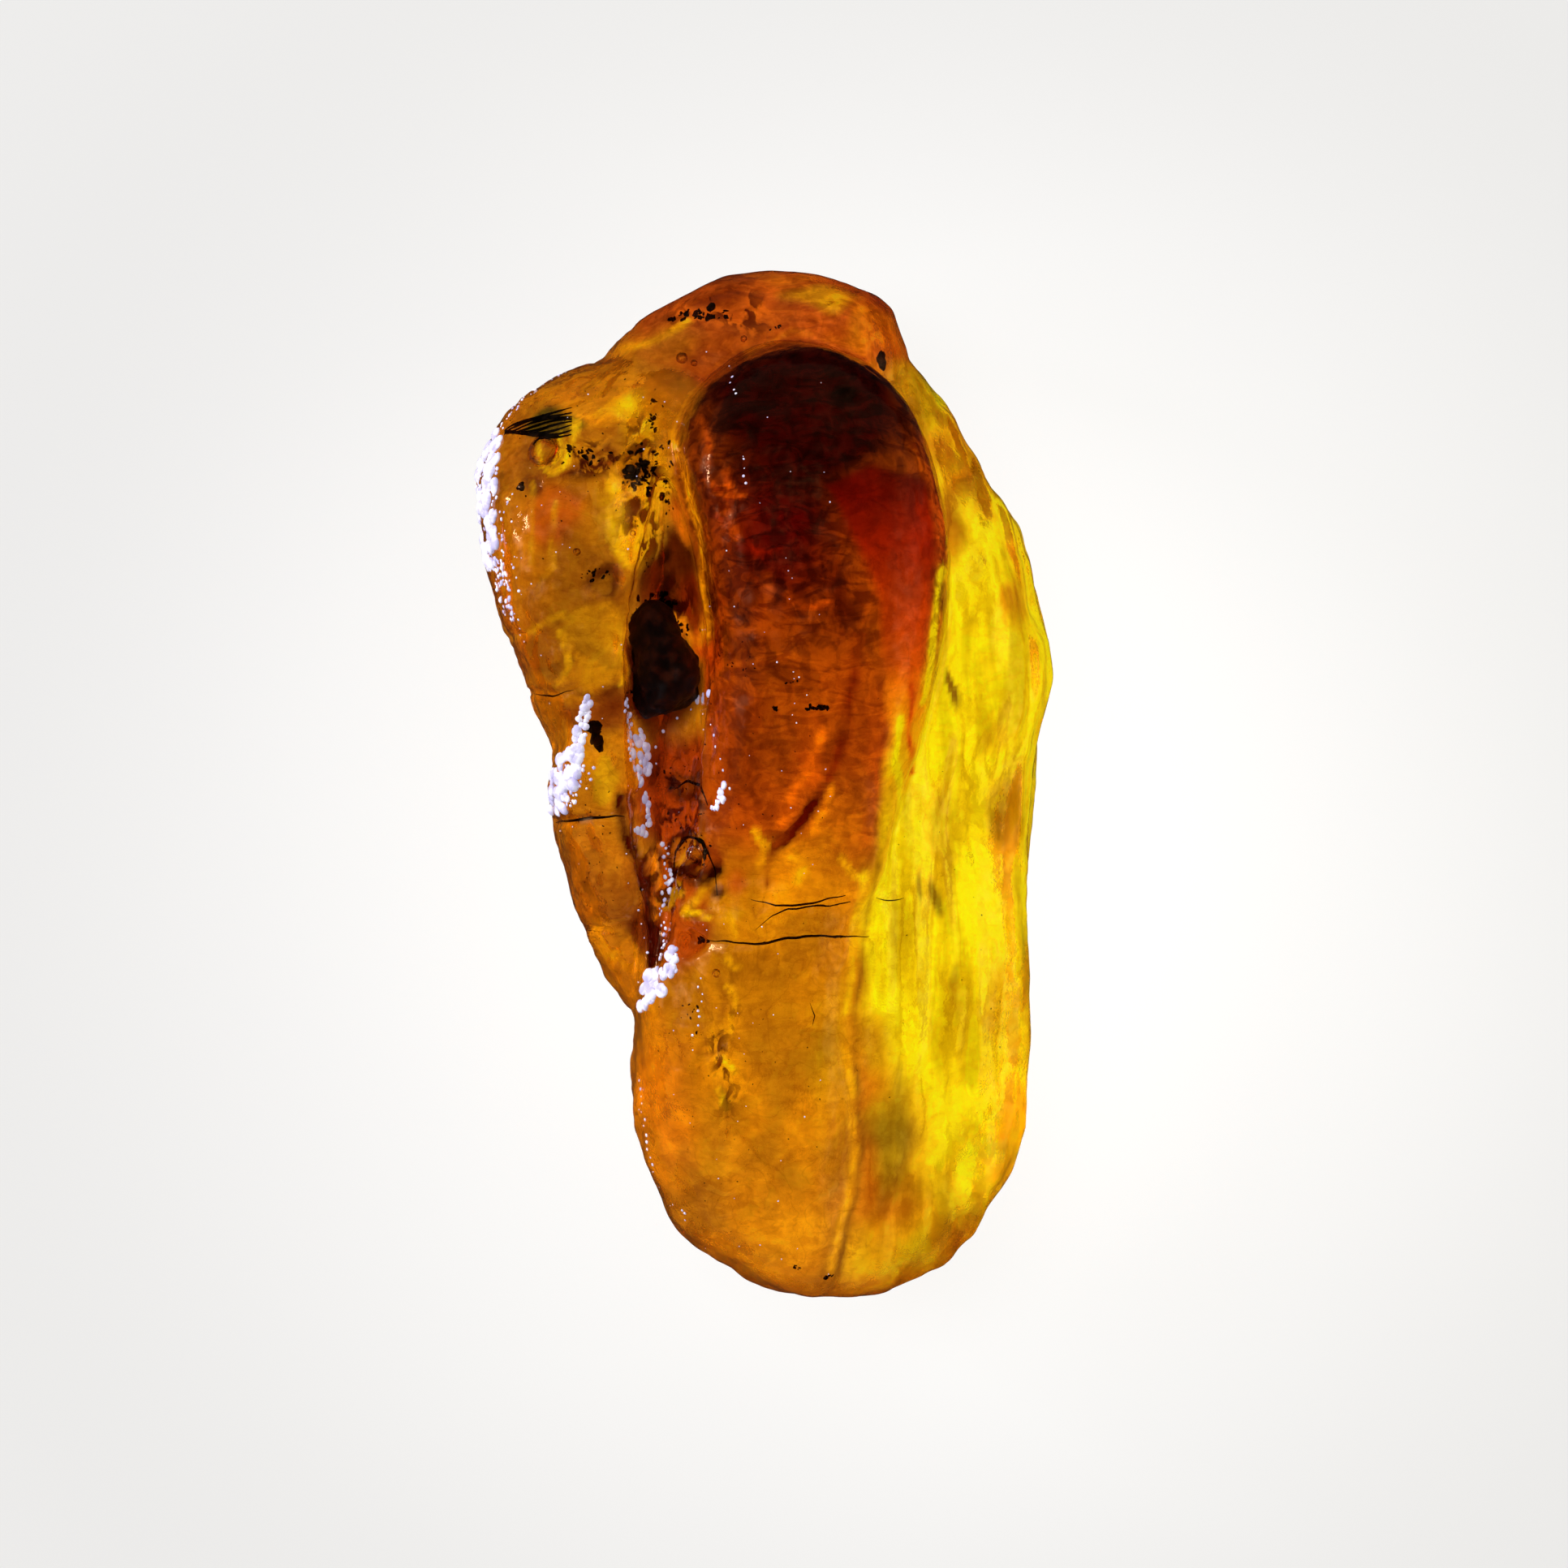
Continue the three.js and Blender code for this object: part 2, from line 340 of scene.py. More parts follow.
# What the clear resin lets through: its surface colour, and how much of red, green and blue is lost in a millimetre
RESIN = (1, 0.8, 0.05)
RESIN_LOSS = (0.001, 0.014, 0.18)
TINTED_FROM = (2, 4.5)  # the heights between which the flows' own tints set in, over the clear back
TABLE_LEVEL = 0.82  # how bright the table is through clear glass
RESIN_IOR = 1.54
RESIN_BODY = (0.995, 0.93, 0.1, 1)  # what the resin's depth lets through, at the density below
RESIN_DENSITY = 200
GLINT_TINT = (1, 0.5, 0.2, 1)

# Tinted places in the resin: centre, reach each way, softness of the border, how red and green the place looks
# over the light table, and strength. Later ones lie over earlier ones, and all lie over the plain colour.
PLAIN = (0.56, 0.17)
MOST_BLUE = 0.008  # of a tint
# Among these are painted backlight on the flank's rim and painted shadow round the bark
BODY_TINTS_AND_PAINTED_LIGHT = [
    ((9.4, -3, 8), (6.2, 21, 12), 0.35, (1, 0.8), 1),  # the flank's yellow
    ((12.2, -6, 6), (2, 15, 6), 0.6, (1, 0.95), 1),  # its bright rim, painted backlight
    ((5.4, -5, 9.5), (1.7, 6.5, 5), 0.8, (1, 0.84), 0.95),  # the bright strip beside the crease
    ((8.8, 12.5, 8), (2.6, 3.5, 5), 0.8, (0.95, 0.6), 0.7),
    ((7.4, 17.2, 8), (2.4, 2.6, 5), 0.7, (1, 0.66), 0.9),  # its duller upper end
    ((9.9, -1.6, 8), (1, 2.6, 5), 0.9, (0.45, 0.3), 0.7),
    ((8.2, -9, 9), (0.5, 3, 5), 0.9, (0.38, 0.19), 0.8),
    ((7.9, 10.9, 9.5), (0.8, 2.6, 6), 0.8, (0.6, 0.18), 0.8),
    ((10.5, 7.6, 8), (0.8, 2, 6), 0.8, (0.58, 0.24), 0.8),
    ((5.3, -15.2, 9), (1.3, 4.2, 5), 0.8, (0.34, 0.22), 0.95),  # the olive patch by the crease
    ((6.4, -20.4, 7), (4.2, 2.6, 6), 0.8, (1, 0.6), 0.95),
    ((7.9, 4.3, 9), (0.42, 1.8, 2.4), 0.5, (0.16, 0.06), 0.95),  # a dark eye in the flank
    ((7.4, -4.9, 9.5), (0.3, 1.5, 2.4), 0.6, (0.26, 0.17), 0.85),
    ((6.7, -4.2, 9.5), (0.22, 1.1, 2.4), 0.6, (0.3, 0.19), 0.8),
    ((-1.2, -14, 10), (5.2, 9.8, 9), 0.2, (0.58, 0.18), 1),  # the foot's orange
    ((2.8, -11, 10), (1.6, 5.5, 5), 0.9, (0.5, 0.21), 0.8),
    ((0.6, -19.6, 8), (4.5, 2.2, 6), 0.8, (0.78, 0.26), 0.8),
    ((-4.2, -13.6, 9), (1.8, 5.2, 8), 0.9, (0.82, 0.21), 0.9),
    ((0.2, 20, 8.5), (6.8, 3.6, 8), 0.2, (0.46, 0.065), 1),  # the top lobe's brown
    ((4.9, 19.4, 8.5), (1.8, 1.6, 5), 0.6, (0.8, 0.2), 0.9),
    ((-4.4, 18.9, 8.5), (2, 1.3, 5), 0.7, (0.53, 0.13), 0.9),
    ((2.7, 20.9, 9), (2.2, 0.7, 3), 0.8, (0.8, 0.3), 0.9),
    ((-2, 20.6, 9), (2, 0.9, 3), 0.8, (0.12, 0.01), 0.9),
    ((1.4, 19, 9), (2.4, 0.6, 3), 0.8, (0.46, 0.05), 0.8),
    ((0.6, 21.8, 8), (2.6, 0.8, 4), 0.8, (0.6, 0.12), 0.8),
    ((-8.8, 11, 10), (4.6, 7.6, 9), 0.3, (0.44, 0.12), 1),  # the left flow
    ((-7.6, 16.6, 10.5), (4.4, 1.9, 5), 0.4, (0.72, 0.22), 1),  # its paler upper end
    ((-8.9, 11.5, 11.5), (1.6, 1.8, 5), 0.5, (0.4, 0.06), 0.9),  # an orange patch
    ((-6.8, 11.6, 11.5), (0.7, 2.2, 5), 0.6, (0.46, 0.15), 0.9),
    ((-10.4, 13.7, 11), (1.2, 1, 5), 0.6, (0.34, 0.08), 0.8),
    ((-9, 15.35, 11), (1.5, 0.75, 5), 0.3, (0.13, 0.07), 0.95),  # the film between the fan's ribs
    ((-9.9, 12.5, 11), (0.5, 0.5, 5), 0.5, (0.12, 0.015), 0.8),
    ((-6.9, 8.8, 11.5), (0.9, 0.7, 5), 0.3, (0.13, 0.02), 0.9),  # a stain with a pale middle
    ((-7.1, 8.7, 11.5), (0.55, 0.4, 5), 0.4, (0.46, 0.14), 0.9),
    ((-7.2, 6, 11.5), (1.35, 2.3, 5), 0.15, (0.64, 0.22), 1),  # its clear window
    ((-9.7, 6, 11), (1.2, 1.6, 5), 0.4, (0.4, 0.1), 0.9),
    ((-7.2, 2.8, 10.5), (2.4, 1, 5), 0.6, (0.2, 0.03), 0.9),
    ((-6.7, 0, 10.5), (0.7, 1.4, 5), 0.15, (0.6, 0.24), 1),  # a clear yellow block
    ((-7.4, -4.6, 9.5), (2.4, 3.4, 8), 0.4, (0.5, 0.13), 0.9),
    ((-6.5, -6.7, 9), (1.4, 1.5, 6), 0.6, (0.95, 0.34), 0.95),
    ((-5.2, 12.4, 10), (1.1, 5, 6), 0.4, (0.72, 0.26), 0.95),  # the crumbly column
    ((-6.1, 11.2, 10.5), (0.5, 2.6, 6), 0.6, (0.8, 0.36), 0.9),
    ((-5.3, 13.3, 10), (0.8, 0.7, 6), 0.6, (0.08, 0.005), 0.9),
    ((-5.3, 15.5, 10), (1.1, 1.4, 6), 0.6, (1, 0.34), 0.9),
    ((-3.5, 12.1, 9.5), (0.8, 2.4, 4), 0.7, (0.54, 0.09), 0.9),
    ((-3.8, 8.9, 9), (1.9, 2.4, 6), 0.4, (0.06, 0.004), 0.97),  # painted shadow over and round the bark
    ((-5, 3, 9.5), (0.9, 0.9, 5), 0.5, (0.04, 0.002), 0.95),
    ((-5.1, 8.3, 9.5), (0.75, 1.5, 6), 0.5, (0.09, 0.007), 0.9),
    ((-4.6, 9.4, 9.5), (0.45, 0.7, 5), 0.5, (0.015, 0.001), 0.9),
    # an orange strip right of the bark, then more painted shadow round it
    ((-2.3, 6, 10), (0.8, 3.4, 6), 0.7, (0.6, 0.05), 0.95),
    ((-4.5, 4.8, 9), (1.9, 3.2, 6), 0.35, (0.06, 0.003), 0.95),
    ((-3.8, -0.6, 9.5), (2.2, 3.6, 6), 0.4, (0.3, 0.028), 1),  # the lower furrow
    ((-3.6, -5.4, 9.5), (2, 3.6, 6), 0.4, (0.34, 0.045), 1),
    ((-4.6, 1.2, 9.5), (0.8, 2.4, 5), 0.6, (0.13, 0.01), 0.9),
    ((-3.4, -0.1, 9.5), (0.85, 0.6, 5), 0.3, (0.1, 0.012), 0.95),  # a lobed hollow
    ((-2.7, -0.1, 9.5), (0.6, 0.5, 5), 0.3, (0.11, 0.014), 0.95),
    ((-3.3, 0, 9.5), (0.45, 0.3, 5), 0.5, (0.24, 0.03), 0.8),
    ((-2.5, -0.8, 9.5), (0.3, 0.45, 5), 0.3, (0.01, 0.001), 0.95),
    ((-2, 0.1, 9.5), (0.28, 0.75, 5), 0.4, (0.04, 0.002), 0.9),
    ((-3, -3, 9.5), (1.3, 1.2, 5), 0.12, (0.06, 0.004), 1),  # a round hollow
    ((-3.1, -2.9, 9.5), (0.85, 0.75, 5), 0.2, (0.32, 0.06), 0.95),
    ((-2, -4.5, 9.5), (0.32, 0.65, 5), 0.4, (0.02, 0.001), 0.95),
    ((-5, -3.7, 9.5), (0.75, 0.95, 5), 0.15, (0.08, 0.006), 0.95),
    ((-4.95, -3.7, 9.5), (0.4, 0.5, 5), 0.3, (0.36, 0.07), 0.9),
    ((-3.75, -4.9, 9.5), (0.65, 0.55, 5), 0.3, (0.4, 0.15), 0.9),
    ((-1.5, -3.9, 10), (0.8, 1.1, 5), 0.6, (0.44, 0.05), 0.85),
    ((-1.3, -5.7, 10), (1, 0.65, 5), 0.5, (0.66, 0.28), 0.95),
    ((1.8, -4.3, 11), (2.7, 1.4, 6), 0.7, (0.92, 0.28), 0.9),
    ((-5.3, -6.2, 9.5), (0.6, 1.4, 5), 0.5, (0.18, 0.02), 0.9),
    ((-3.8, 6.8, 9), (0.8, 0.9, 6), 0.4, (0.42, 0.09), 0.95),  # crumbs beside the bark
    ((-2.8, 7.6, 9.5), (0.9, 1.5, 5), 0.6, (0.16, 0.01), 0.9),
    ((-3.1, 10.7, 9.5), (0.8, 0.8, 5), 0.7, (0.72, 0.15), 0.85),
    ((-6.2, 3.5, 9.5), (1.1, 0.9, 5), 0.6, (0.13, 0.012), 0.9),
    ((-4.9, 2.3, 9.5), (0.7, 0.6, 5), 0.6, (0.09, 0.01), 0.9),
]
FRONT_TINTS = [
    ((1.6, 4, 14), (9, 30, 30), 0.1, (0.38, 0.05), 1),  # orange all over
    ((-1.2, 1.5, 14), (2, 4.5, 30), 0.8, (0.26, 0.028), 0.9),
    ((-2.2, 6, 14), (0.7, 2.6, 30), 0.8, (0.5, 0.04), 0.9),
    ((3.6, -2.2, 14), (3, 3.2, 30), 0.9, (0.6, 0.12), 0.9),
    ((6.3, 1.8, 14), (1.4, 3.4, 30), 0.8, (0.92, 0.34), 0.9),
    ((0.6, 10.9, 14), (6.6, 9.4, 30), 0.9, (0.07, 0.0003), 1),  # dark red above
    ((3.1, 8, 14), (0.9, 4, 30), 1, (0.05, 0.0008), 0.8),  # a dark fold beside the band
    ((1.9, 0.9, 14), (1.1, 1.9, 30), 0.9, (0.62, 0.075), 0.8),
    ((1.8, 15.9, 14), (7.4, 5.6, 30), 0.6, (0.02, 0.0001), 1),  # nearly black head
    ((3.4, 16.3, 14), (0.7, 0.9, 30), 0.5, (0.003, 0.0001), 1),
    ((1.6, -3.4, 14), (2.8, 1.8, 30), 0.9, (0.88, 0.26), 0.9),
]
# The front flow's bright red band: its outline in plan, and its red and green at places along the stone
BAND_OUTLINE = [
    (2.4, 12.6), (3.6, 10.2), (4.4, 8), (4.8, 6), (4.9, 3.4), (4.8, 0), (4.3, -4.6), (6.4, -4.6),
    (7.2, 0), (7, 3.4), (6.9, 5.4), (7.3, 8.5), (7.5, 11), (7, 13), (4.6, 13.6),
]
BAND_PLACES = (-3, 0.5, 3, 5, 6.5, 10, 12, 13.5)
BAND_RED = (1, 0.95, 0.88, 0.58, 0.5, 0.3, 0.16, 0.05)
BAND_GREEN = (0.7, 0.42, 0.22, 0.07, 0.04, 0.007, 0.001, 0.0003)
BAND_EDGE = (-0.05, 0.45)
BAND_STRENGTH = 0.9
# Fine veins and painted crease shade: a line of plan points, its half width, how red and green it looks, and
# strength
VEINS_AND_CREASE_SHADE = [
    (
        [(-3.9, 14.8), (-3.4, 13), (-2.9, 11.4), (-2.7, 10), (-2.6, 8.6), (-2.4, 7), (-2.7, 6)],
        0.18, (0.85, 0.26), 1.4,
    ),
    ([(-2.7, 15.2), (-2.4, 14), (-2.5, 12.8)], 0.12, (0.45, 0.05), 0.8),
    ([(-9.9, 12.8), (-9.9, 11.2), (-9.8, 9.3)], 0.1, (0.62, 0.24), 0.8),
    ([(-8.9, 11.9), (-9, 10.3), (-8.8, 9.2), (-9.4, 8.4)], 0.1, (0.66, 0.26), 0.8),
    ([(-6.7, 11.9), (-6.5, 10.6), (-6.1, 9.6), (-5.8, 9.2)], 0.14, (0.9, 0.42), 0.8),
    ([(-8.4, 8.2), (-7.9, 7.7), (-6.4, 7.9), (-5.9, 8.3)], 0.1, (0.18, 0.03), 0.8),
    ([(-10.8, 6.3), (-9.6, 6.5), (-8.5, 7.1)], 0.1, (0.78, 0.32), 0.8),
    ([(-8.6, 6.4), (-8.4, 5), (-8.9, 4.2)], 0.1, (0.8, 0.34), 0.8),
    ([(-9.4, 4.1), (-8.2, 3.9), (-7, 3.6), (-6, 4.2)], 0.16, (0.1, 0.01), 0.85),
    ([(-6.1, 5.6), (-5.9, 4.8), (-6.1, 4.2)], 0.1, (0.8, 0.34), 0.8),
    ([(-9, -1.4), (-7.6, -1.5), (-6, -1.4)], 0.18, (0.14, 0.02), 0.8),
    ([(-9.5, 14.5), (-9.4, 13.6), (-9, 13.2), (-8.4, 13.6), (-8.15, 14.5), (-8, 15.4)], 0.11, (0.9, 0.4), 1.5),
    ([(-8.8, 13.7), (-8.5, 14.2), (-8.6, 14.8)], 0.09, (0.95, 0.5), 1.2),
    ([(-9.9, 12.9), (-8.9, 13.1), (-7.6, 13.5), (-6.4, 13.7)], 0.14, (0.24, 0.04), 1.2),
    ([(-8.2, 13.3), (-7.4, 13.8), (-6.6, 14.3), (-6.2, 13.8)], 0.14, (0.1, 0.008), 0.8),
    ([(-8.3, 15.6), (-8, 14.9), (-8.3, 14)], 0.12, (0.88, 0.42), 0.8),
    ([(-1.9, 7.2), (-1.2, 6.6), (0.6, 6.5), (2.4, 7)], 0.14, (0.42, 0.05), 0.5),
    # painted shade: the dark seam in the crease along the furrow's left wall
    (
        [(-6, -0.8), (-5.9, -2.3), (-5.4, -3.7), (-4.9, -4.8), (-4.75, -5.7), (-4.7, -6.8), (-4.85, -7.6)],
        0.3, (0.05, 0.002), 2.2,
    ),
    ([(-3.6, -3.8), (-3, -4.2), (-2.4, -4.1), (-2.1, -3.6)], 0.24, (0.02, 0.001), 2),
    ([(-3.9, 0.3), (-4.1, -0.3), (-3.5, -0.7), (-3, -0.5), (-2.6, -0.9)], 0.16, (0.06, 0.004), 1.6),
    ([(-5.4, -3.1), (-5.6, -3.7), (-5.2, -4.4), (-4.7, -4.3)], 0.14, (0.07, 0.005), 1.6),
    ([(-3.6, -3.3), (-3, -2.7), (-2.7, -2.3)], 0.1, (0.7, 0.26), 1),
    ([(-3.3, -5.3), (-2.9, -4.9), (-2.6, -4.5)], 0.16, (0.9, 0.42), 1),
    ([(-3.4, -5.5), (-2.9, -5.4), (-2.4, -5.6)], 0.12, (0.9, 0.4), 1),
    ([(-1.6, -7.3), (-1.35, -7.75), (-1.1, -7.7)], 0.1, (0.98, 0.42), 0.9),
    ([(-1.7, -8.6), (-1.4, -9), (-1.2, -9.5)], 0.1, (0.98, 0.42), 0.9),
    ([(-1.5, -9.9), (-1.35, -10.5)], 0.1, (0.98, 0.42), 0.9),
    ([(-1.7, -11.6), (-1.3, -12.2)], 0.12, (0.95, 0.5), 1.1),
    ([(-1.9, -13), (-1.6, -13.7)], 0.12, (0.95, 0.5), 1.1),
    ([(-2, -8.2), (-1.8, -9.2), (-1.9, -10.4), (-1.6, -11.4)], 0.2, (0.26, 0.06), 0.8),
    ([(-1.9, -12.4), (-1.5, -14), (-1.8, -15.4)], 0.18, (0.26, 0.06), 0.8),
    ([(-2.9, -9.9), (-2.4, -10.8), (-2.9, -11.4), (-2, -11.3)], 0.14, (0.3, 0.07), 0.8),
    ([(-4.9, -3), (-4.5, -4.3), (-4.6, -5.6)], 0.14, (0.66, 0.16), 0.8),
    ([(-2.2, -5.1), (-1.6, -5.6), (-1.2, -6.5)], 0.16, (0.85, 0.34), 0.9),
    ([(3.9, 6.2), (3.7, 4), (3.4, 2.2), (3, 0.8), (2.2, -0.8)], 0.3, (0.16, 0.008), 0.95),
    ([(2.4, -0.5), (1.7, -1.3), (1.1, -1.9), (0.4, -2.9)], 0.26, (0.08, 0.002), 2),
    ([(0.7, -2.2), (0.2, -3.3), (0.1, -4.2)], 0.18, (0.26, 0.03), 0.9),
    ([(2.9, -0.2), (2.6, -1.2), (2, -2)], 0.16, (0.85, 0.2), 1.3),
    ([(2.4, 2.2), (1.9, 0.8), (1.2, -0.4), (0.6, -1.6)], 0.24, (0.85, 0.13), 1.2),
    ([(-0.4, -1.9), (0.1, -2.6), (-0.2, -3.4)], 0.14, (0.95, 0.36), 1.2),
    ([(1.2, -3.2), (1.7, -3.6), (1.5, -4.2)], 0.22, (1, 0.36), 1.2),
    ([(3.2, -3.1), (3.7, -3.9), (4.3, -4)], 0.12, (1, 0.45), 1.2),
    ([(-1.7, 13.2), (-1.3, 12.2), (-1.6, 11.2), (-1.2, 10.4)], 0.14, (0.5, 0.05), 1.4),
    ([(-2.1, 12.6), (-1.5, 12), (-0.9, 12.1)], 0.1, (0.5, 0.05), 1.3),
    ([(-2, 11.2), (-1.4, 10.6), (-1.6, 9.8)], 0.1, (0.44, 0.04), 1.3),
    ([(1, 8), (1.8, 7.4), (2.7, 7.6)], 0.12, (0.5, 0.05), 1.2),
    ([(7.5, 9), (7.2, 7), (6.9, 5.2), (6.6, 3.4)], 0.14, (1, 0.8), 1.5),
    ([(6.9, 3), (6.7, 1.2), (6.9, -0.5)], 0.1, (1, 0.85), 1.5),
    ([(6.2, 4.8), (6.1, 2.6), (6.3, 0.6)], 0.14, (0.6, 0.06), 1.2),
    ([(-4.1, 7.3), (-3.8, 7), (-3.9, 6.6)], 0.16, (0.8, 0.2), 1.8),
    ([(-3.5, 7.1), (-3.3, 6.6), (-3, 6.2)], 0.15, (0.8, 0.2), 1.8),
    ([(4.9, 3.2), (4.9, 1.6), (4.6, -0.6), (4.2, -2.2)], 0.2, (0.4, 0.05), 0.7),
    ([(5.6, 2.6), (5.5, 0.8), (5.9, -1.4), (5.4, -3.2)], 0.14, (1, 0.85), 1.4),
    ([(-1.6, 4.9), (-0.4, 5.3), (1.2, 5.2), (2.2, 4.8)], 0.16, (0.44, 0.06), 0.7),
    ([(-1, 10), (0.2, 9.6), (1.2, 9.9)], 0.18, (0.24, 0.006), 0.7),
    ([(0, 8.6), (0.3, 7.6), (0, 6.9)], 0.22, (0.38, 0.04), 0.7),
    (
        [(4.75, -3.4), (4.2, -6.6), (3.9, -9.9), (3.85, -12.7), (4.15, -14.8), (3.8, -18), (3.1, -21)],
        0.13, (0.28, 0.09), 1.1,
    ),
    ([(3.5, -11), (3.6, -13.4), (3.75, -15.6), (3.4, -18.4), (2.8, -20.8)], 0.16, (0.95, 0.38), 0.7),
    ([(4.2, -3.8), (3.7, -6.6), (3.5, -9.6)], 0.16, (0.92, 0.55), 0.6),
    ([(-6.8, 18.5), (-5, 18.9), (-3.2, 19.7)], 0.16, (0.88, 0.34), 0.9),
    ([(-0.9, 18.5), (1.2, 19.2), (3.6, 18.9), (5.2, 17.8)], 0.14, (0.7, 0.16), 0.6),
]
# Crumbly places: centre, reach each way and softness
CRUMBLY = [
    ((-5.3, 12.2, 10), (1.3, 4.6, 6), 0.5),
    ((-6.9, 13.9, 11), (1.9, 0.9, 5), 0.6),
    ((-3.9, 7.9, 9), (1.3, 1.1, 4), 0.5),
    ((-3.6, -2.6, 9.5), (2.2, 5.6, 4), 0.5),
    ((-1.6, 20.2, 9), (3.4, 1.2, 4), 0.7),
    ((-1.6, -11.5, 11), (0.9, 5, 4), 0.9),
]
DOME = ((0.2, 20, 8.5), (6.8, 3.6, 8), 0.3)  # the top lobe, which is mottled
# The left flow's cells, between healed cracks: how many, their box, and the darkest and palest shade
CELLS = 300
CELL_BOX = ((-13, -3), (-9, 19), (6, 13))
CELL_SHADES = (0.7, 1.2)
# How far places, the red band, the cells and the veins waver
PLACE_SWAY = 0.7
BAND_SWAY = 0.3
CELL_SWAY = 0.5
VEIN_SWAY = 0.25
# Where a flow's share rises from 0 to 1: the front flow's in from its outline, along the stone and up, and the
# other two's across it
FRONT_EDGE = (-0.35, 0.15)
FRONT_END = (-5, -1.5)
FRONT_FLOOR = (9.8, 10.8)
LEFT_EDGE = (4.8, 5.8)
FLANK_EDGE = (3.6, 4.8)
# The chipped strip along the foot: its middle and half width across, and how far down the stone it sets in
CHIPS_X = -1.7
CHIPS_HALF = 0.9
CHIPS_END = (7.5, 9.5)
FURROW = ((-3.7, -2.5, 9.5), (2.4, 7.5, 5), 0.5)  # the lower furrow's rough ground: centre, reach and softness

# Cross cracks and folds in the relief: a line of plan points, its half width and how deep it sinks
FOLDS = [
    ([(-5.5, 2.6), (-5.6, 0.2), (-5.4, -2.6), (-4.9, -5), (-4.7, -6.8), (-4.9, -8.3)], 0.26, 0.24),
    ([(-10.2, 3.9), (-9, 3.8), (-7.8, 4.1)], 0.16, 0.16),
    ([(-10.9, 6.2), (-9.6, 6.4), (-8.4, 6)], 0.14, 0.1),
    ([(-9.1, -1.7), (-7.6, -1.5), (-6, -1.4)], 0.22, 0.22),
    ([(-8, -6.2), (-6.9, -6.3), (-5.8, -6)], 0.18, 0.16),
    ([(-2.6, -6.6), (-0.4, -6.7), (2, -6.4), (4.4, -6.5)], 0.16, 0.14),
    ([(-0.6, -4.9), (1.5, -5.1), (3.4, -4.7)], 0.14, 0.12),
    ([(-3.1, -8.4), (-2.4, -9.8), (-1.9, -11.6), (-1.6, -13.4), (-1.9, -15.2)], 0.3, 0.14),
]


def rise(values, low, high):
    """0 below low, 1 above high, and a soft rise between, for an array."""
    t = np.clip((values - low) / (high - low), 0, 1)
    return t * t * (3 - 2 * t)


def ripples(points, scale, seed=0.0):
    """Noise from -1 to 1 at each point, with scale in waves per millimetre, one number or one for each axis."""
    return np.array([noise.noise(Vector(p)) for p in points * np.array(scale) + seed])


def distance_to(points, line, closed=False):
    """How far each plan point is from a line of plan points."""
    ends = line[1:] + line[:1] if closed else line[1:]
    nearest = np.full(len(points), 1e9)
    for a, b in zip(line, ends):
        start, run = np.array(a), np.array(b) - np.array(a)
        t = np.clip(((points[:, :2] - start) @ run) / (run @ run), 0, 1)
        nearest = np.minimum(nearest, np.linalg.norm(points[:, :2] - start - t[:, None] * run, axis=1))
    return nearest


def inside(points, outline):
    """How far each plan point is inside an outline, negative outside it."""
    odd = np.zeros(len(points), bool)
    for (ax, ay), (bx, by) in zip(outline, outline[1:] + outline[:1]):
        crosses = (points[:, 1] > ay) != (points[:, 1] > by)
        odd ^= crosses & (points[:, 0] < ax + (points[:, 1] - ay) * (bx - ax) / (by - ay))
    return np.where(odd, 1, -1) * distance_to(points, outline, True)


def flow_parts(points):
    """How much each point belongs to the left flow, to the front flow and to the right flank, from 0 to 1."""
    front = rise(inside(points, FRONT_OUTLINE), *FRONT_EDGE) * rise(points[:, 1], *FRONT_END)
    front *= rise(points[:, 2], *FRONT_FLOOR)
    left = rise(-points[:, 0], *LEFT_EDGE) * (1 - front)
    flank = rise(points[:, 0], *FLANK_EDGE) * (1 - front)
    return left, front, flank


def relief(points):
    """How far the amber's surface stands out at each point: waves all over, flow lines, rough ground and folds."""
    left, front, flank = flow_parts(points)
    height = 0.1 * ripples(points, 0.45) + 0.035 * ripples(points, 1.6)
    height += flank * 0.12 * ripples(points, (1.5, 0.16, 1.5))
    height += left * (0.12 * ripples(points, 0.9, 6.0) + 0.05 * ripples(points, 2.4))
    furrow = zone(points, *FURROW)
    height += furrow * (0.36 * np.abs(ripples(points, 1.0, 2.0)) - 0.16 + 0.1 * ripples(points, 2.4, 3.0))
    height += front * 0.04 * ripples(points, (0.7, 1.6, 0.7), 9.0)
    chips = np.exp(-(((points[:, 0] - CHIPS_X) / CHIPS_HALF) ** 2)) * rise(-points[:, 1], *CHIPS_END)
    height -= chips * 0.16 * np.abs(ripples(points, (1.1, 1.9, 0.2), 4.0))
    top = points[:, 2] > RIM_HEIGHT
    swaying = points.copy()
    swaying[:, 1] += 0.25 * ripples(points, 0.7, 2.0)
    for line, half_width, depth in FOLDS:
        height -= top * depth * np.exp(-((distance_to(swaying, line) / half_width) ** 2))
    return height * rise(points[:, 2], 0.05, 1.0)


def zone(points, centre, reach, softness):
    """How much each point belongs to an ellipsoid with a soft border, from 0 to 1."""
    away = np.linalg.norm((points - np.array(centre)) / np.array(reach), axis=1)
    return 1 - rise(away, 1 - softness, 1.0)


def tinted(points, seen, tints, share=1.0):
    """The red and green that each point shows over the table, after the tinted places are laid over it."""
    for centre, reach, softness, tint, strength in tints:
        mask = zone(points, centre, reach, softness) * strength * share
        seen = seen + (np.array(tint) - seen) * mask[:, None]
    return seen


def draw_veins_and_shade(points, seen):
    """The red and green that each point shows, with the fine veins and the painted crease shade drawn in."""
    broken = grain(points, 0.8, -0.35, 0.35, 0.4, 1.0, 8.0)
    for line, half_width, tint, strength in VEINS_AND_CREASE_SHADE:
        mask = np.minimum(np.exp(-((distance_to(points, line) / half_width) ** 2)) * strength * broken, 1)
        seen = seen + (np.array(tint) - seen) * mask[:, None]
    return seen


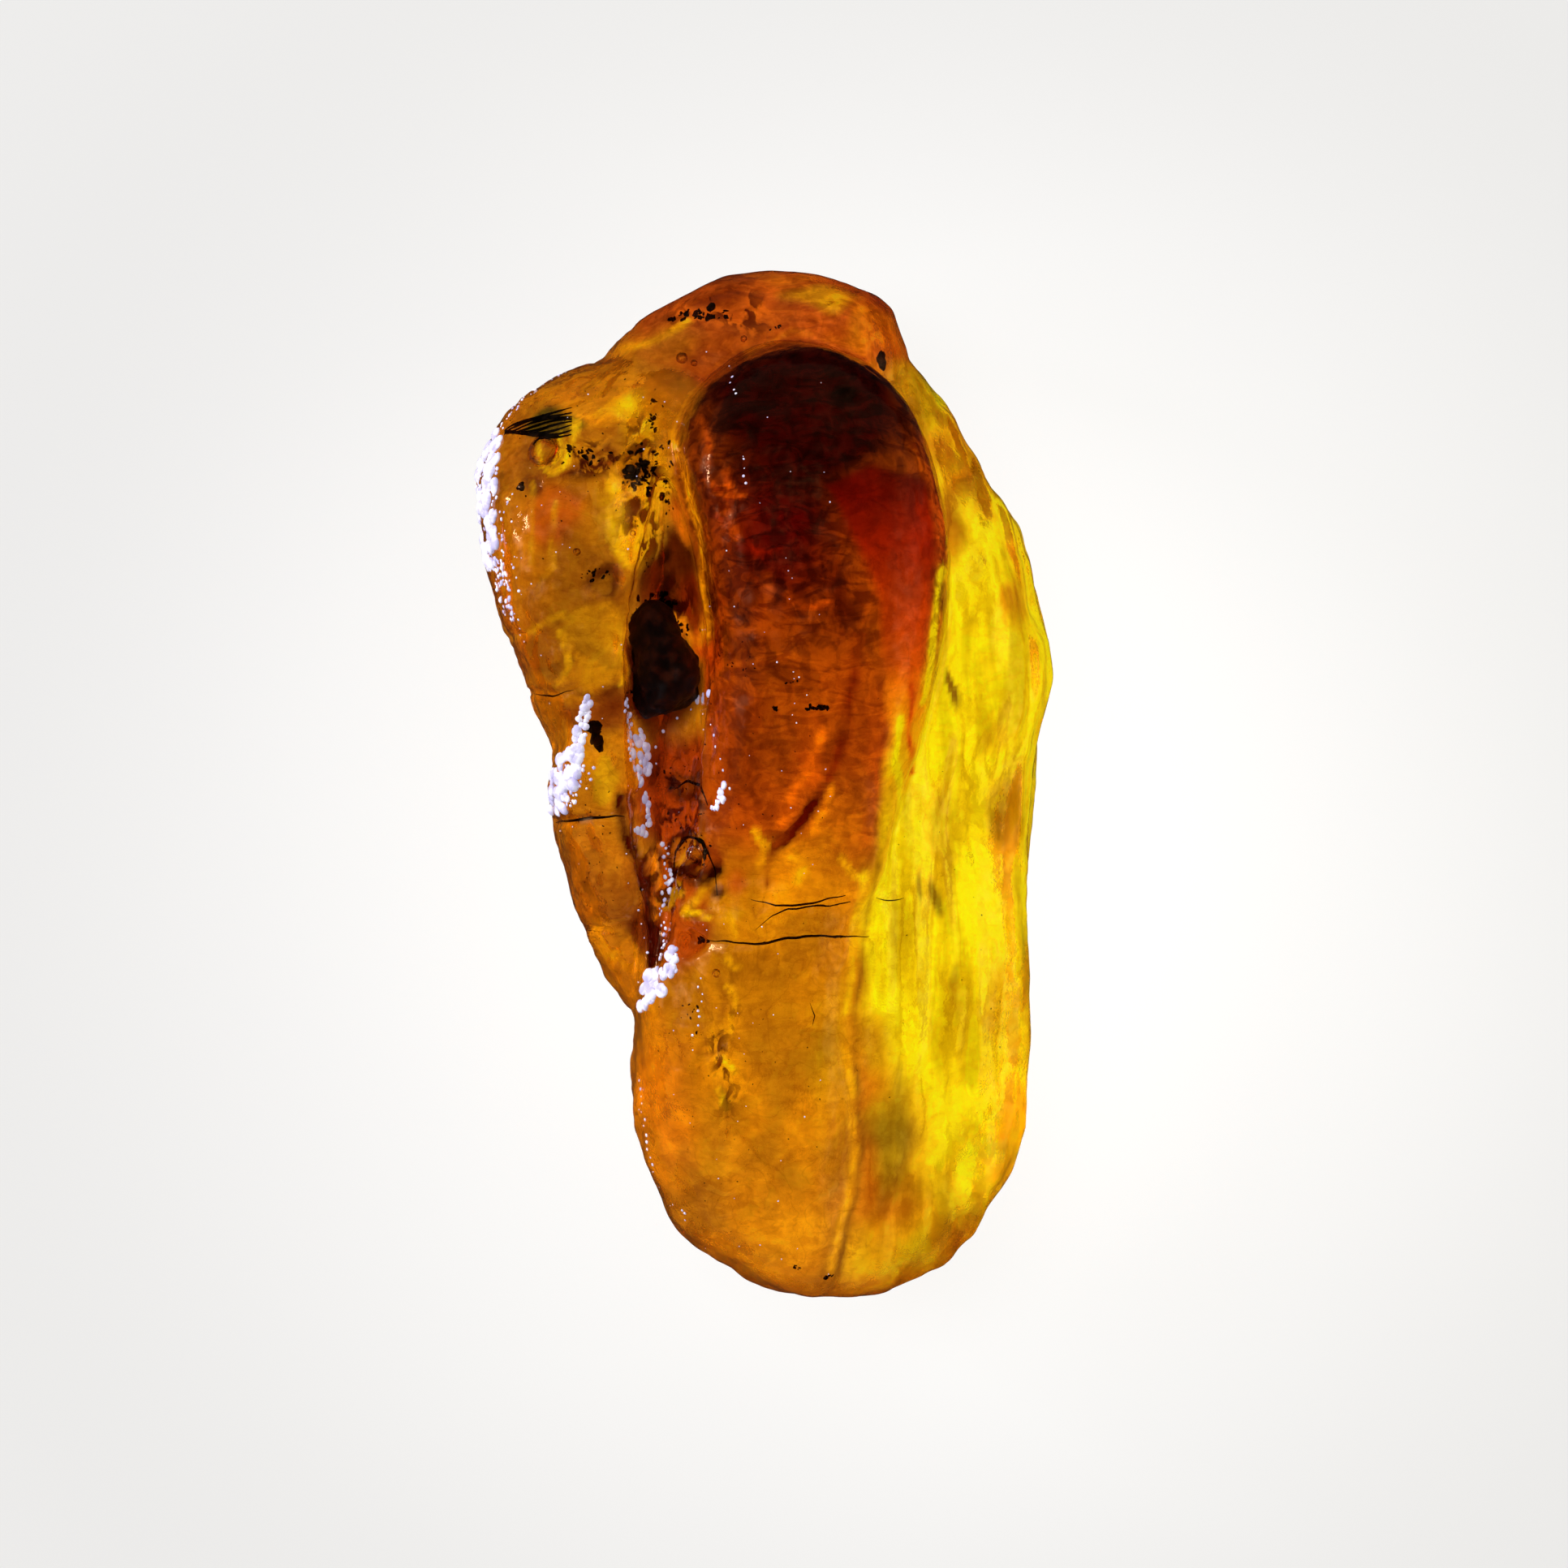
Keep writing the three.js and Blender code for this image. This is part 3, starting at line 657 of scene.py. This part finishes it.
def surface_tint(seen, heights):
    """The surface colour that shows the seen red and green over the table through resin of the given height."""
    lost = np.exp(-np.maximum(heights, 0)[:, None] * np.array(RESIN_LOSS[:2]))
    clear = TABLE_LEVEL * np.sqrt(np.array(RESIN[:2])) * lost
    share = np.clip((seen / clear) ** 2, 0, 1)
    upper = np.concatenate([share, np.minimum(share[:, 1:], MOST_BLUE)], axis=1)
    return np.array(RESIN) + (upper - np.array(RESIN)) * rise(heights, *TINTED_FROM)[:, None]


def vertex_points(mesh):
    """The mesh's vertices as an array, in millimetres."""
    points = np.empty(len(mesh.vertices) * 3)
    mesh.vertices.foreach_get("co", points)
    return points.reshape(-1, 3) * 1000


def store_colour(mesh, name, colours):
    """Keeps a colour for each vertex, for the material to read."""
    layer = mesh.color_attributes.new(name, "FLOAT_COLOR", "POINT")
    opaque = np.concatenate([colours, np.ones((len(colours), 1))], axis=1)
    layer.data.foreach_set("color", opaque.ravel())


def grain(points, scale, low, high, dark, light, seed=0.0):
    """A shade from dark to light by two octaves of noise, between its values low and high."""
    fine = np.array(scale) * 2.3
    return dark + (light - dark) * rise(ripples(points, scale, seed) + 0.5 * ripples(points, fine, seed), low, high)


def facets(points):
    """Flat-shaded cells, as between healed cracks: the shade of the cell that each point is in."""
    rng = random.Random(4)
    seeds = np.array([[rng.uniform(*span) for span in CELL_BOX] for _ in range(CELLS)])
    shades = np.array([rng.uniform(*CELL_SHADES) for _ in seeds])
    nearest = np.full(len(points), 1e9)
    shade = np.ones(len(points))
    for seed, own in zip(seeds, shades):
        away = np.linalg.norm(points - seed, axis=1)
        shade = np.where(away < nearest, own, shade)
        nearest = np.minimum(nearest, away)
    return shade


def colour_flows(mesh):
    """Stores the flows' tints and painted light and shade, which flow each vertex is in, and where it is crumbly."""
    points = vertex_points(mesh)
    left, front, flank = flow_parts(points)
    shift = np.stack([ripples(points, 0.5, seed) for seed in (1.0, 7.0, 13.0)], axis=1)
    wavering = points + PLACE_SWAY * shift
    seen = tinted(wavering, np.tile(np.array(PLAIN), (len(points), 1)), BODY_TINTS_AND_PAINTED_LIGHT)
    seen = tinted(wavering, seen, FRONT_TINTS, front)
    band = np.stack([np.interp(points[:, 1], BAND_PLACES, shades) for shades in (BAND_RED, BAND_GREEN)], axis=1)
    in_band = rise(inside(points + BAND_SWAY * shift, BAND_OUTLINE), *BAND_EDGE) * front * BAND_STRENGTH
    seen = seen + (band - seen) * in_band[:, None]
    shade = grain(points, (0.42, 0.3, 0.42), -0.45, 0.45, 0.78, 1.14)
    shade *= 1 + left * (facets(points + CELL_SWAY * shift) - 1)
    seen *= shade[:, None]
    patches = grain(points, (0.5, 0.17, 0.5), -0.4, 0.4, 0.0, 1.0, 3.0)
    seen *= 1 + (flank * (patches - 1))[:, None] * np.array((0.1, 0.22))
    seen = draw_veins_and_shade(points + VEIN_SWAY * shift, seen)
    store_colour(mesh, "flow_tint_and_painted_light", surface_tint(seen, points[:, 2]))
    mottled = front * (0.5 + 0.5 * rise(points[:, 1] - 0.35 * points[:, 0], 0.0, 9.0)) * (1 - 0.7 * in_band)
    mottled = np.max([mottled, 0.5 * zone(points, *DOME), 0.22 * left, 0.18 * (1 - front) * (1 - flank)], axis=0)
    store_colour(mesh, "flow_part", np.stack([left, mottled, flank], axis=1))
    crumbly = np.max([zone(wavering, *place) for place in CRUMBLY], axis=0)
    store_colour(mesh, "crumbly", np.repeat(crumbly[:, None], 3, axis=1))


def make_amber():
    """The stone's surface: the CAD solid remeshed finely, smoothed and given its relief."""
    amber = add_object("amber_stone", solid_mesh("amber"))
    remesh = amber.modifiers.new("Remesh", "REMESH")
    remesh.mode = "VOXEL"
    remesh.voxel_size = mm(VOXEL)
    smooth = amber.modifiers.new("Smooth", "SMOOTH")
    smooth.iterations = SMOOTHING
    apply_modifiers(amber)
    bm = bmesh.new()
    bm.from_mesh(amber.data)
    bm.normal_update()
    for v, lift in zip(bm.verts, relief(vertex_points(amber.data))):
        v.co += v.normal * mm(lift)
    for face in bm.faces:
        face.smooth = True
    bm.to_mesh(amber.data)
    bm.free()
    colour_flows(amber.data)
    return finish_piece(amber, "amber", amber_material(), "amber")


def read_colour(tree, name):
    """A stored colour: its output."""
    return add_node(tree, "Attribute", {}, attribute_name=name).outputs["Color"]


def add_marks(tree, colour, part, waves, low, high, dark, light):
    """Multiplies a colour, where a part says so, by marks from dark to light as a noise goes from low to high."""
    level = add_range(tree, waves, low, high)
    marks = {}
    for channel, low_end, high_end in zip(("Red", "Green", "Blue"), dark, light):
        marks[channel] = add_math(tree, "ADD", add_math(tree, "MULTIPLY", level, high_end - low_end), low_end)
    marks = add_node(tree, "CombineColor", marks).outputs["Color"]
    return add_mix(tree, part, colour, add_mix(tree, 1.0, colour, marks, "MULTIPLY"))


def amber_material():
    """Clear resin, tinted by its flows and by painted light and shade, and mottled, streaked and threaded inside
    them.
    """
    material, tree, shader = new_material("amber")
    point = millimetre_point(tree)
    parts = add_node(tree, "SeparateColor", {"Color": read_colour(tree, "flow_part")}).outputs
    mottled, flank = parts["Green"], parts["Blue"]
    fine = add_noise(tree, point, 2.4, 3.0)
    clots = add_noise(tree, point, 1.2, 5.0, (1.2, 0.8, 1), 0.7)
    streaks = add_noise(tree, point, 0.8, 4.0, (1, 0.16, 1), 0.5)
    swells = add_noise(tree, point, 0.9, 5.0, (0.6, 1.5, 1), 1.8)
    crumbs = read_colour(tree, "crumbly")
    colour = read_colour(tree, "flow_tint_and_painted_light")
    colour = add_marks(tree, colour, 1.0, fine, 0.3, 0.7, (0.82, 0.75, 0.7), (1.12, 1.15, 1.1))
    colour = add_marks(tree, colour, mottled, clots, 0.4, 0.6, (0.35, 0.25, 0.2), (1.5, 1.6, 1.5))
    colour = add_marks(tree, colour, mottled, swells, 0.4, 0.6, (0.36, 0.22, 0.2), (1.6, 2.0, 1.5))
    colour = add_marks(tree, colour, flank, streaks, 0.36, 0.6, (0.62, 0.44, 0.2), (1.3, 1.16, 1.2))
    colour = add_marks(tree, colour, crumbs, clots, 0.43, 0.52, (0.08, 0.02, 0.05), (1.7, 2.0, 1.2))
    values = {"Point": point, "Scale": 0.5, "Width": 0.018}
    threads = add_node(tree, "Group", values, node_tree=thread_group())
    plain = add_math(tree, "SUBTRACT", 1.0, add_math(tree, "MAXIMUM", mottled, flank))
    thread_mask = add_math(tree, "MULTIPLY", add_math(tree, "MULTIPLY", threads.outputs["Mask"], plain), 0.4)
    colour = add_mix(tree, thread_mask, colour, add_mix(tree, 1.0, colour, (0.25, 0.08, 0.05, 1), "MULTIPLY"))

    height = add_math(tree, "ADD", streaks, fine)
    level = add_node(tree, "SeparateXYZ", {"Vector": point}).outputs["Z"]
    frost = add_range(tree, level, 3.0, 6.5, 0.45, 0.0)
    gloss = add_range(tree, fine, 0.35, 0.7, 0.06, 0.16)
    connect(tree, shader, {
        "Base Color": colour, "Roughness": add_math(tree, "ADD", frost, gloss), "IOR": RESIN_IOR,
        "Normal": add_bump(tree, height, 0.3, 0.1), "Transmission Weight": 1.0, "Specular Tint": GLINT_TINT,
    })
    resin = add_node(tree, "VolumeAbsorption", {"Color": RESIN_BODY, "Density": RESIN_DENSITY})
    connect(tree, tree.nodes["Material Output"], {"Volume": resin.outputs["Volume"]})
    return material


# The bark and other dark grains

BARK_DARK = (0.003, 0.0008, 0.0004, 1)
BARK_LIGHT = (0.03, 0.005, 0.001, 1)
BARK_GROWTH = LODGE_GAP + 0.1  # fills the gap and goes a little way into the resin
BARK_RELIEF = 0.42
# Notches in the bark's outline: plan point, reach and depth
BARK_NOTCHES = [((-3.2, 7.1), 1.3, 0.75), ((-3.7, 2.7), 1.3, 0.6)]


def bark_material():
    """Weathered bark: two browns in patches, with a rough face."""
    material, tree, shader = new_material("bark")
    patches = add_noise(tree, millimetre_point(tree), 1.6, 5.0)
    mask = add_range(tree, patches, 0.45, 0.7)
    bump = add_bump(tree, patches, 0.6, 0.15)
    colour = add_mix(tree, mask, BARK_DARK, BARK_LIGHT)
    connect(tree, shader, {"Base Color": colour, "Normal": bump, "Roughness": 0.7})
    return material


def make_bark(material):
    """The bark: its CAD solid, refined, grown into its pocket, notched and roughened."""
    bm = solid_mesh("bark_fragment")
    bmesh.ops.subdivide_edges(bm, edges=bm.edges, cuts=3, use_grid_fill=True)
    for _ in range(3):
        bmesh.ops.smooth_vert(bm, verts=bm.verts, factor=0.5, use_axis_x=True, use_axis_y=True, use_axis_z=True)
    bm.normal_update()
    for v in bm.verts:
        p = v.co * 1000
        rough = noise.noise(p * 0.8) + 0.6 * noise.noise(p * 1.9) + 0.3 * noise.noise(p * 4.5)
        grown = BARK_GROWTH + BARK_RELIEF * rough
        for place, reach, depth in BARK_NOTCHES:
            grown -= depth * max(0.0, 1 - (math.dist(p.xy, place) / reach) ** 2)
        v.co += v.normal * mm(grown)
    finish_piece(add_object("bark_piece", bm), "bark", material, "bark_fragment")


# Specks: plan point, spread each way, how many, smallest and largest half size
SPECKS = [
    ((-5.3, 12.9), (0.6, 0.55), 46, 0.08, 0.3),
    ((-5.1, 13.9), (0.8, 0.5), 16, 0.05, 0.16),
    ((-7.2, 2.1), (0.12, 0.5), 7, 0.3, 0.42),
    ((-4.6, 7.7), (0.7, 0.4), 26, 0.1, 0.32),
    ((-5.6, 6.6), (0.16, 0.9), 20, 0.08, 0.24),
    ((-5.5, 3.6), (0.4, 0.4), 16, 0.08, 0.26),
    ((-3.4, 6.6), (0.4, 0.4), 14, 0.06, 0.16),
    ((-7.8, 14), (0.8, 0.35), 22, 0.05, 0.2),
    ((-4.1, 12.1), (0.25, 0.9), 18, 0.05, 0.16),
    ((-4.8, 15.4), (0.3, 0.9), 16, 0.05, 0.18),
    ((-10.3, 12.6), (0.05, 0.08), 3, 0.22, 0.28),
    ((-7.1, 8.8), (0.7, 0.35), 16, 0.04, 0.14),
    ((-5.2, 9.7), (0.3, 1.2), 26, 0.03, 0.07),
    ((-1.3, 4.8), (0.8, 0.5), 18, 0.03, 0.09),
    ((-2.5, -6.6), (0.16, 0.14), 8, 0.14, 0.28),
    ((-3.2, -9.6), (0.4, 0.7), 9, 0.04, 0.12),
    ((-2.7, 20), (1, 0.28), 26, 0.08, 0.26),
    ((0.4, 19.4), (0.4, 0.2), 5, 0.07, 0.14),
    ((4.9, 18), (0.2, 0.25), 5, 0.22, 0.38),
    ((0.45, 3.2), (0.08, 0.06), 4, 0.1, 0.16),
    ((2.25, 3.25), (0.34, 0.05), 12, 0.09, 0.17),
    ((-1.8, 5.5), (0.12, 0.2), 5, 0.05, 0.11),
    ((1.1, 4.3), (0.3, 0.04), 4, 0.05, 0.09),
    ((2.7, -21), (0.12, 0.08), 3, 0.1, 0.16),
    ((1.3, -20.6), (0.25, 0.06), 4, 0.06, 0.1),
    ((-7.6, -3), (1.1, 3.2), 60, 0.025, 0.06),
    ((-3.4, -1), (1, 3), 70, 0.03, 0.09),
    ((-0.5, -1), (3, 5), 60, 0.02, 0.05),
    ((-1, -13), (3, 5), 60, 0.02, 0.05),
    ((-8, 14), (2.6, 3), 60, 0.02, 0.06),
    ((7, -6), (3, 9), 30, 0.02, 0.05),
]
SPECK_DEPTH = (0.05, 0.5)
SPECK_TILT = 0.7  # radians, either way
SPECK_ROUGH = 0.18  # of its half size, how far each corner is moved


def make_specks(surface, material):
    """Dark grains and crumbs of bark, caught just under the surface."""
    rng = random.Random(11)
    bm = bmesh.new()
    for (x, y), spread, count, small, large in SPECKS:
        for _ in range(count):
            point, _ = surface.at(rng.gauss(x, spread[0] * 0.6), rng.gauss(y, spread[1] * 0.6))
            size = mm(small + (large - small) * rng.random() ** 2)
            depth = mm(rng.uniform(*SPECK_DEPTH)) + size
            if point is None:
                continue
            turn = Matrix.Rotation(rng.uniform(0, math.tau), 4, "Z")
            turn @= Matrix.Rotation(rng.uniform(-SPECK_TILT, SPECK_TILT), 4, "X")
            shape = Matrix.Diagonal((size, size * rng.uniform(0.4, 0.8), size * 0.5, 1))
            place = Matrix.Translation(point - Vector((0, 0, depth))) @ turn @ shape
            crumb = bmesh.ops.create_icosphere(bm, subdivisions=1, radius=1, matrix=place)
            for v in crumb["verts"]:
                v.co += Vector([rng.uniform(-SPECK_ROUGH, SPECK_ROUGH) * size for _ in range(3)])
    finish_piece(add_object("specks", bm), "bark", material)


# Cracks: a line of plan points, the width of the sheet and how far it goes down
CRACKS = [
    ([(-0.6, -4.9), (0.4, -5.15), (1.5, -5.1), (3.4, -4.7)], 0.1, 0.7),
    ([(-0.4, -6.1), (0.3, -5.6), (1, -5.3), (3.6, -5)], 0.08, 0.6),
    ([(-2.5, -6.6), (-0.4, -6.75), (2, -6.4), (4.4, -6.5)], 0.12, 0.9),
    ([(-9.9, 3.85), (-9, 3.7), (-8.1, 4)], 0.07, 0.4),
    ([(-9, -1.65), (-7.5, -1.45), (-6, -1.35)], 0.14, 0.6),
    ([(-7.9, -6.2), (-7, -6.3)], 0.09, 0.4),
    ([(4.7, -4.8), (5.3, -4.95), (5.9, -4.85)], 0.06, 0.4),
    ([(1.9, -9.3), (2.1, -9.8), (2, -10.2)], 0.05, 0.3),
    ([(-2, -4.7), (-2.1, -3.6), (-2.6, -2.4), (-3.3, -2.2), (-3.8, -2.9), (-3.9, -3.9)], 0.12, 0.5),
    ([(-3.9, -0.2), (-3.3, 0.15), (-2.7, -0.1), (-2.4, -0.9)], 0.14, 0.4),
]
CRACK_SWAY = 0.09
CRACK_TOP = 0.04  # how far under the surface a crack begins


def make_cracks(surface, material):
    """Thin dark sheets that go down into the stone from lines on its surface, thickest in their middle."""
    bm = bmesh.new()
    for number, (points, width, reach) in enumerate(CRACKS):
        steps = max(8, int(6 * sum(math.dist(a, b) for a, b in zip(points, points[1:]))))
        rows = []
        for x, y, share in along(points, steps):
            sway = CRACK_SWAY * noise.noise(Vector((x * 1.7, y * 1.7, 3 + number)))
            top, _ = surface.at(x, y + sway)
            if top is None:
                continue
            half = mm(width) * (0.25 + 0.75 * math.sin(math.pi * share)) / 2
            side = Vector((0, half, 0)) if abs(points[-1][0] - points[0][0]) > 1 else Vector((half, 0, 0))
            lower = top - mm(0, 0, 0.05 + reach * (0.3 + 0.7 * math.sin(math.pi * share)))
            upper = top - mm(0, 0, CRACK_TOP)
            rows.append([bm.verts.new(corner) for corner in (upper - side, upper + side, lower)])
        skin_rows(bm, rows)
    bmesh.ops.recalc_face_normals(bm, faces=bm.faces)
    finish_piece(add_object("cracks", bm), "bark", material)


# The crust beads, coloured white and glowing faintly as painted glints

# Painted glints: the beads' dim and white shades, and the faint glow that stands in for light on them
PAINTED_GLINT_DIM = (0.52, 0.47, 0.72, 1)
PAINTED_GLINT_WHITE = (0.88, 0.86, 0.96, 1)
PAINTED_GLINT_GLOW = (0.74, 0.7, 1, 1)
# Glint beads: a line of plan points, the width of the band, beads to a square millimetre and their half size
CRUST_GLINT_BANDS = [
    ([(-11.6, 14.9), (-12, 13.2), (-11.9, 11.2), (-11.7, 9.4)], 1, 20, 0.3),
    ([(-11.7, 14.6), (-12, 12.6), (-11.7, 10.4), (-11.2, 8.4)], 1.2, 16, 0.09),
    ([(-11.4, 9.6), (-11.1, 8.4), (-10.8, 7)], 0.7, 22, 0.13),
    ([(-10.6, 7.2), (-10.2, 6)], 0.3, 14, 0.07),
    ([(-10.9, 12.4), (-11, 10.4), (-10.6, 8.2)], 0.7, 5, 0.07),
    ([(-8.5, 17.9), (-10.3, 16.6), (-11.5, 15.1)], 0.45, 18, 0.08),
    ([(-8.2, 1.5), (-8.5, 0.3), (-8.9, -1.1)], 1.2, 20, 0.28),
    ([(-7.7, 1), (-8.2, 0), (-8.6, -1)], 1.6, 12, 0.09),
    ([(-7.5, 3.6), (-7.8, 2.5), (-8, 1.5)], 0.5, 24, 0.2),
    ([(-5.9, 3.6), (-5.8, 2.3), (-5.7, 1)], 0.26, 24, 0.13),
    ([(-5.4, 2.2), (-5.3, 1), (-5.2, 0.2)], 0.7, 22, 0.22),
    ([(-5.1, -0.4), (-5, -1.3), (-5.2, -2.1), (-5.6, -2)], 0.34, 28, 0.19),
    ([(-2.4, 3.9), (-2.9, 3.5)], 0.55, 24, 0.17),
    ([(-3.2, 3.2), (-3.9, 2.7), (-4.6, 1.9), (-4.7, 0.9)], 0.2, 9, 0.08),
    ([(-2.6, 3), (-2.2, 2.2), (-1.8, 0.9), (-1.7, 0.1)], 0.2, 12, 0.07),
    ([(-1.6, 0), (-1.8, -0.6), (-2.2, -1.1)], 0.5, 24, 0.15),
    ([(-4.3, -2.6), (-4.2, -3.8), (-4.3, -5), (-4.4, -6.4), (-4.4, -7.4)], 0.4, 14, 0.11),
    ([(-4.1, -3.9), (-4.1, -4.6)], 0.4, 24, 0.14),
    ([(-3.9, -7), (-4, -8)], 0.55, 24, 0.2),
    ([(-4.5, -8), (-4.8, -8.8), (-5.2, -9.5)], 0.8, 24, 0.27),
    ([(-5.4, -12.7), (-5.1, -15.2), (-4.8, -16.6)], 0.14, 24, 0.08),
    ([(-3.9, -18), (-3.4, -18.7)], 0.4, 12, 0.07),
    ([(-2.8, -8.2), (-2.7, -9.4), (-3, -10.6)], 0.3, 11, 0.06),
    ([(-5.4, -5.4), (-5.2, -6.2), (-5, -7.2)], 0.12, 14, 0.06),
    ([(-1.4, 17.2), (-1.2, 16.4)], 0.3, 8, 0.06),
    ([(-0.9, 13.6), (-0.8, 12.6)], 0.2, 8, 0.06),
]
# Single tiny beads, painted glints: how many, the box that they lie in and their half size
LONE_GLINT_BEADS = 150
LONE_BOX = ((-12, 3), (-21, 19))
LONE_SIZE = (0.018, 0.042)
LARGE_BEAD = 0.15  # beads over this half size are rounder


def painted_glint_material():
    """The beads' skin, painted as glints: glossy, nearly white with a cold tinge, and glowing faintly as painted
    light.
    """
    material, tree, shader = new_material("crust_painted_glint")
    patches = add_noise(tree, millimetre_point(tree), 1.8, 4.0)
    mask = add_range(tree, patches, 0.4, 0.58)
    connect(tree, shader, {
        "Base Color": add_mix(tree, mask, PAINTED_GLINT_DIM, PAINTED_GLINT_WHITE), "Roughness": 0.18,
        "Emission Color": PAINTED_GLINT_GLOW, "Emission Strength": 0.2,
    })
    return material


def make_crust_glints(surface):
    """Small glossy beads, half sunk in the surface along the edges and furrow: pebbly skin coloured as painted
    glints.
    """
    rng = random.Random(5)
    bm = bmesh.new()

    def bead(x, y, size):
        point, normal = surface.at(x, y)
        if point is None:
            return
        turn = normal.to_track_quat("Z", "Y").to_matrix().to_4x4()
        shape = Matrix.Diagonal((size, size * rng.uniform(0.7, 1.2), size * rng.uniform(0.4, 0.7), 1))
        place = Matrix.Translation(point) @ turn @ shape
        bmesh.ops.create_icosphere(bm, subdivisions=2 if size > mm(LARGE_BEAD) else 1, radius=1, matrix=place)

    for points, width, crowd, size in CRUST_GLINT_BANDS:
        length = sum(math.dist(a, b) for a, b in zip(points, points[1:]))
        count = max(4, int(length * width * crowd))
        for x, y, share in along(points, count):
            band = width * (0.55 + 0.45 * math.sin(math.pi * share)) / 2
            place = (x + rng.uniform(-band, band), y + rng.uniform(-band, band) * 0.6)
            bead(*place, mm(size * rng.uniform(0.5, 1.25)))
    for _ in range(LONE_GLINT_BEADS):
        bead(rng.uniform(*LONE_BOX[0]), rng.uniform(*LONE_BOX[1]), mm(rng.uniform(*LONE_SIZE)))
    finish_piece(add_object("crust_glint_beads", bm), "amber", painted_glint_material())


# Bubbles and the fan

AIR_IOR = 0.66  # of air, seen from within resin


def bubble_material():
    """The wall of a gas bubble: clear, with air behind it."""
    material, tree, shader = new_material("bubble_wall")
    connect(tree, shader, {"Base Color": (1, 1, 1, 1), "Roughness": 0.0, "IOR": AIR_IOR, "Transmission Weight": 1.0})
    return material


# Gas bubbles: plan point, half width and depth of the middle under the surface
BUBBLES = [
    ((-9.2, 14), 0.75, 1.1), ((-3.5, 18.1), 0.26, 0.5), ((-3, 17.9), 0.16, 0.4), ((-0.9, 18.9), 0.15, 0.4),
    ((-5.6, 10.6), 0.14, 0.3), ((-5.3, 9.8), 0.1, 0.3), ((-2.9, -3), 0.5, 0.7), ((-2, -8), 0.2, 0.4),
    ((-8, 9.8), 0.18, 0.4),
]


def make_bubbles(surface):
    """Round gas bubbles in the resin."""
    bm = bmesh.new()
    for (x, y), size, depth in BUBBLES:
        point, _ = surface.at(x, y)
        place = Matrix.Translation(point - mm(0, 0, depth + size * 0.3))
        bmesh.ops.create_icosphere(bm, subdivisions=3, radius=mm(size), matrix=place)
    finish_piece(add_object("gas_bubbles", bm), "amber", bubble_material())


FAN_TIP = (-11.1, 15)
FAN_END = (-8.2, 15.4)
FAN_RIBS = 9
FAN_SPREAD = 0.55
FAN_STEPS = 16
FAN_DEPTH = 0.25


def make_fan(surface, material):
    """A fan of fracture ribs at the upper left, spreading from a tip at the rim."""
    bm = bmesh.new()
    for rib in range(FAN_RIBS):
        side = 2 * rib / (FAN_RIBS - 1) - 1
        rows = []
        for i in range(FAN_STEPS + 1):
            t = i / FAN_STEPS
            x = FAN_TIP[0] + (FAN_END[0] - FAN_TIP[0]) * t
            swell = math.sin(math.pi * min(t * 0.62, 1)) ** 0.8
            y = FAN_TIP[1] + (FAN_END[1] - FAN_TIP[1]) * t + side * FAN_SPREAD * swell + 0.1 * math.sin(5 * t + rib)
            top, _ = surface.at(x, y)
            if top is None:
                continue
            half = mm(0.035 + 0.05 * t * (1 - t) * 4)
            middle = top - mm(0, 0, FAN_DEPTH)
            corners = (middle + Vector((0, half, 0)), middle + Vector((0, 0, half)), middle - Vector((0, half, 0)))
            rows.append([bm.verts.new(corner) for corner in corners])
        skin_rows(bm, rows)
    bmesh.ops.recalc_face_normals(bm, faces=bm.faces)
    finish_piece(add_object("fracture_fan", bm), "bark", material)


make_camera()
make_lighting()
make_table()
stone = make_amber()
stone_surface = Surface(stone)
bark_colours = bark_material()
make_bark(bark_colours)
make_specks(stone_surface, bark_colours)
make_cracks(stone_surface, bark_colours)
make_crust_glints(stone_surface)
make_bubbles(stone_surface)
make_fan(stone_surface, bark_colours)
bpy.context.scene.view_settings.view_transform = "Standard"
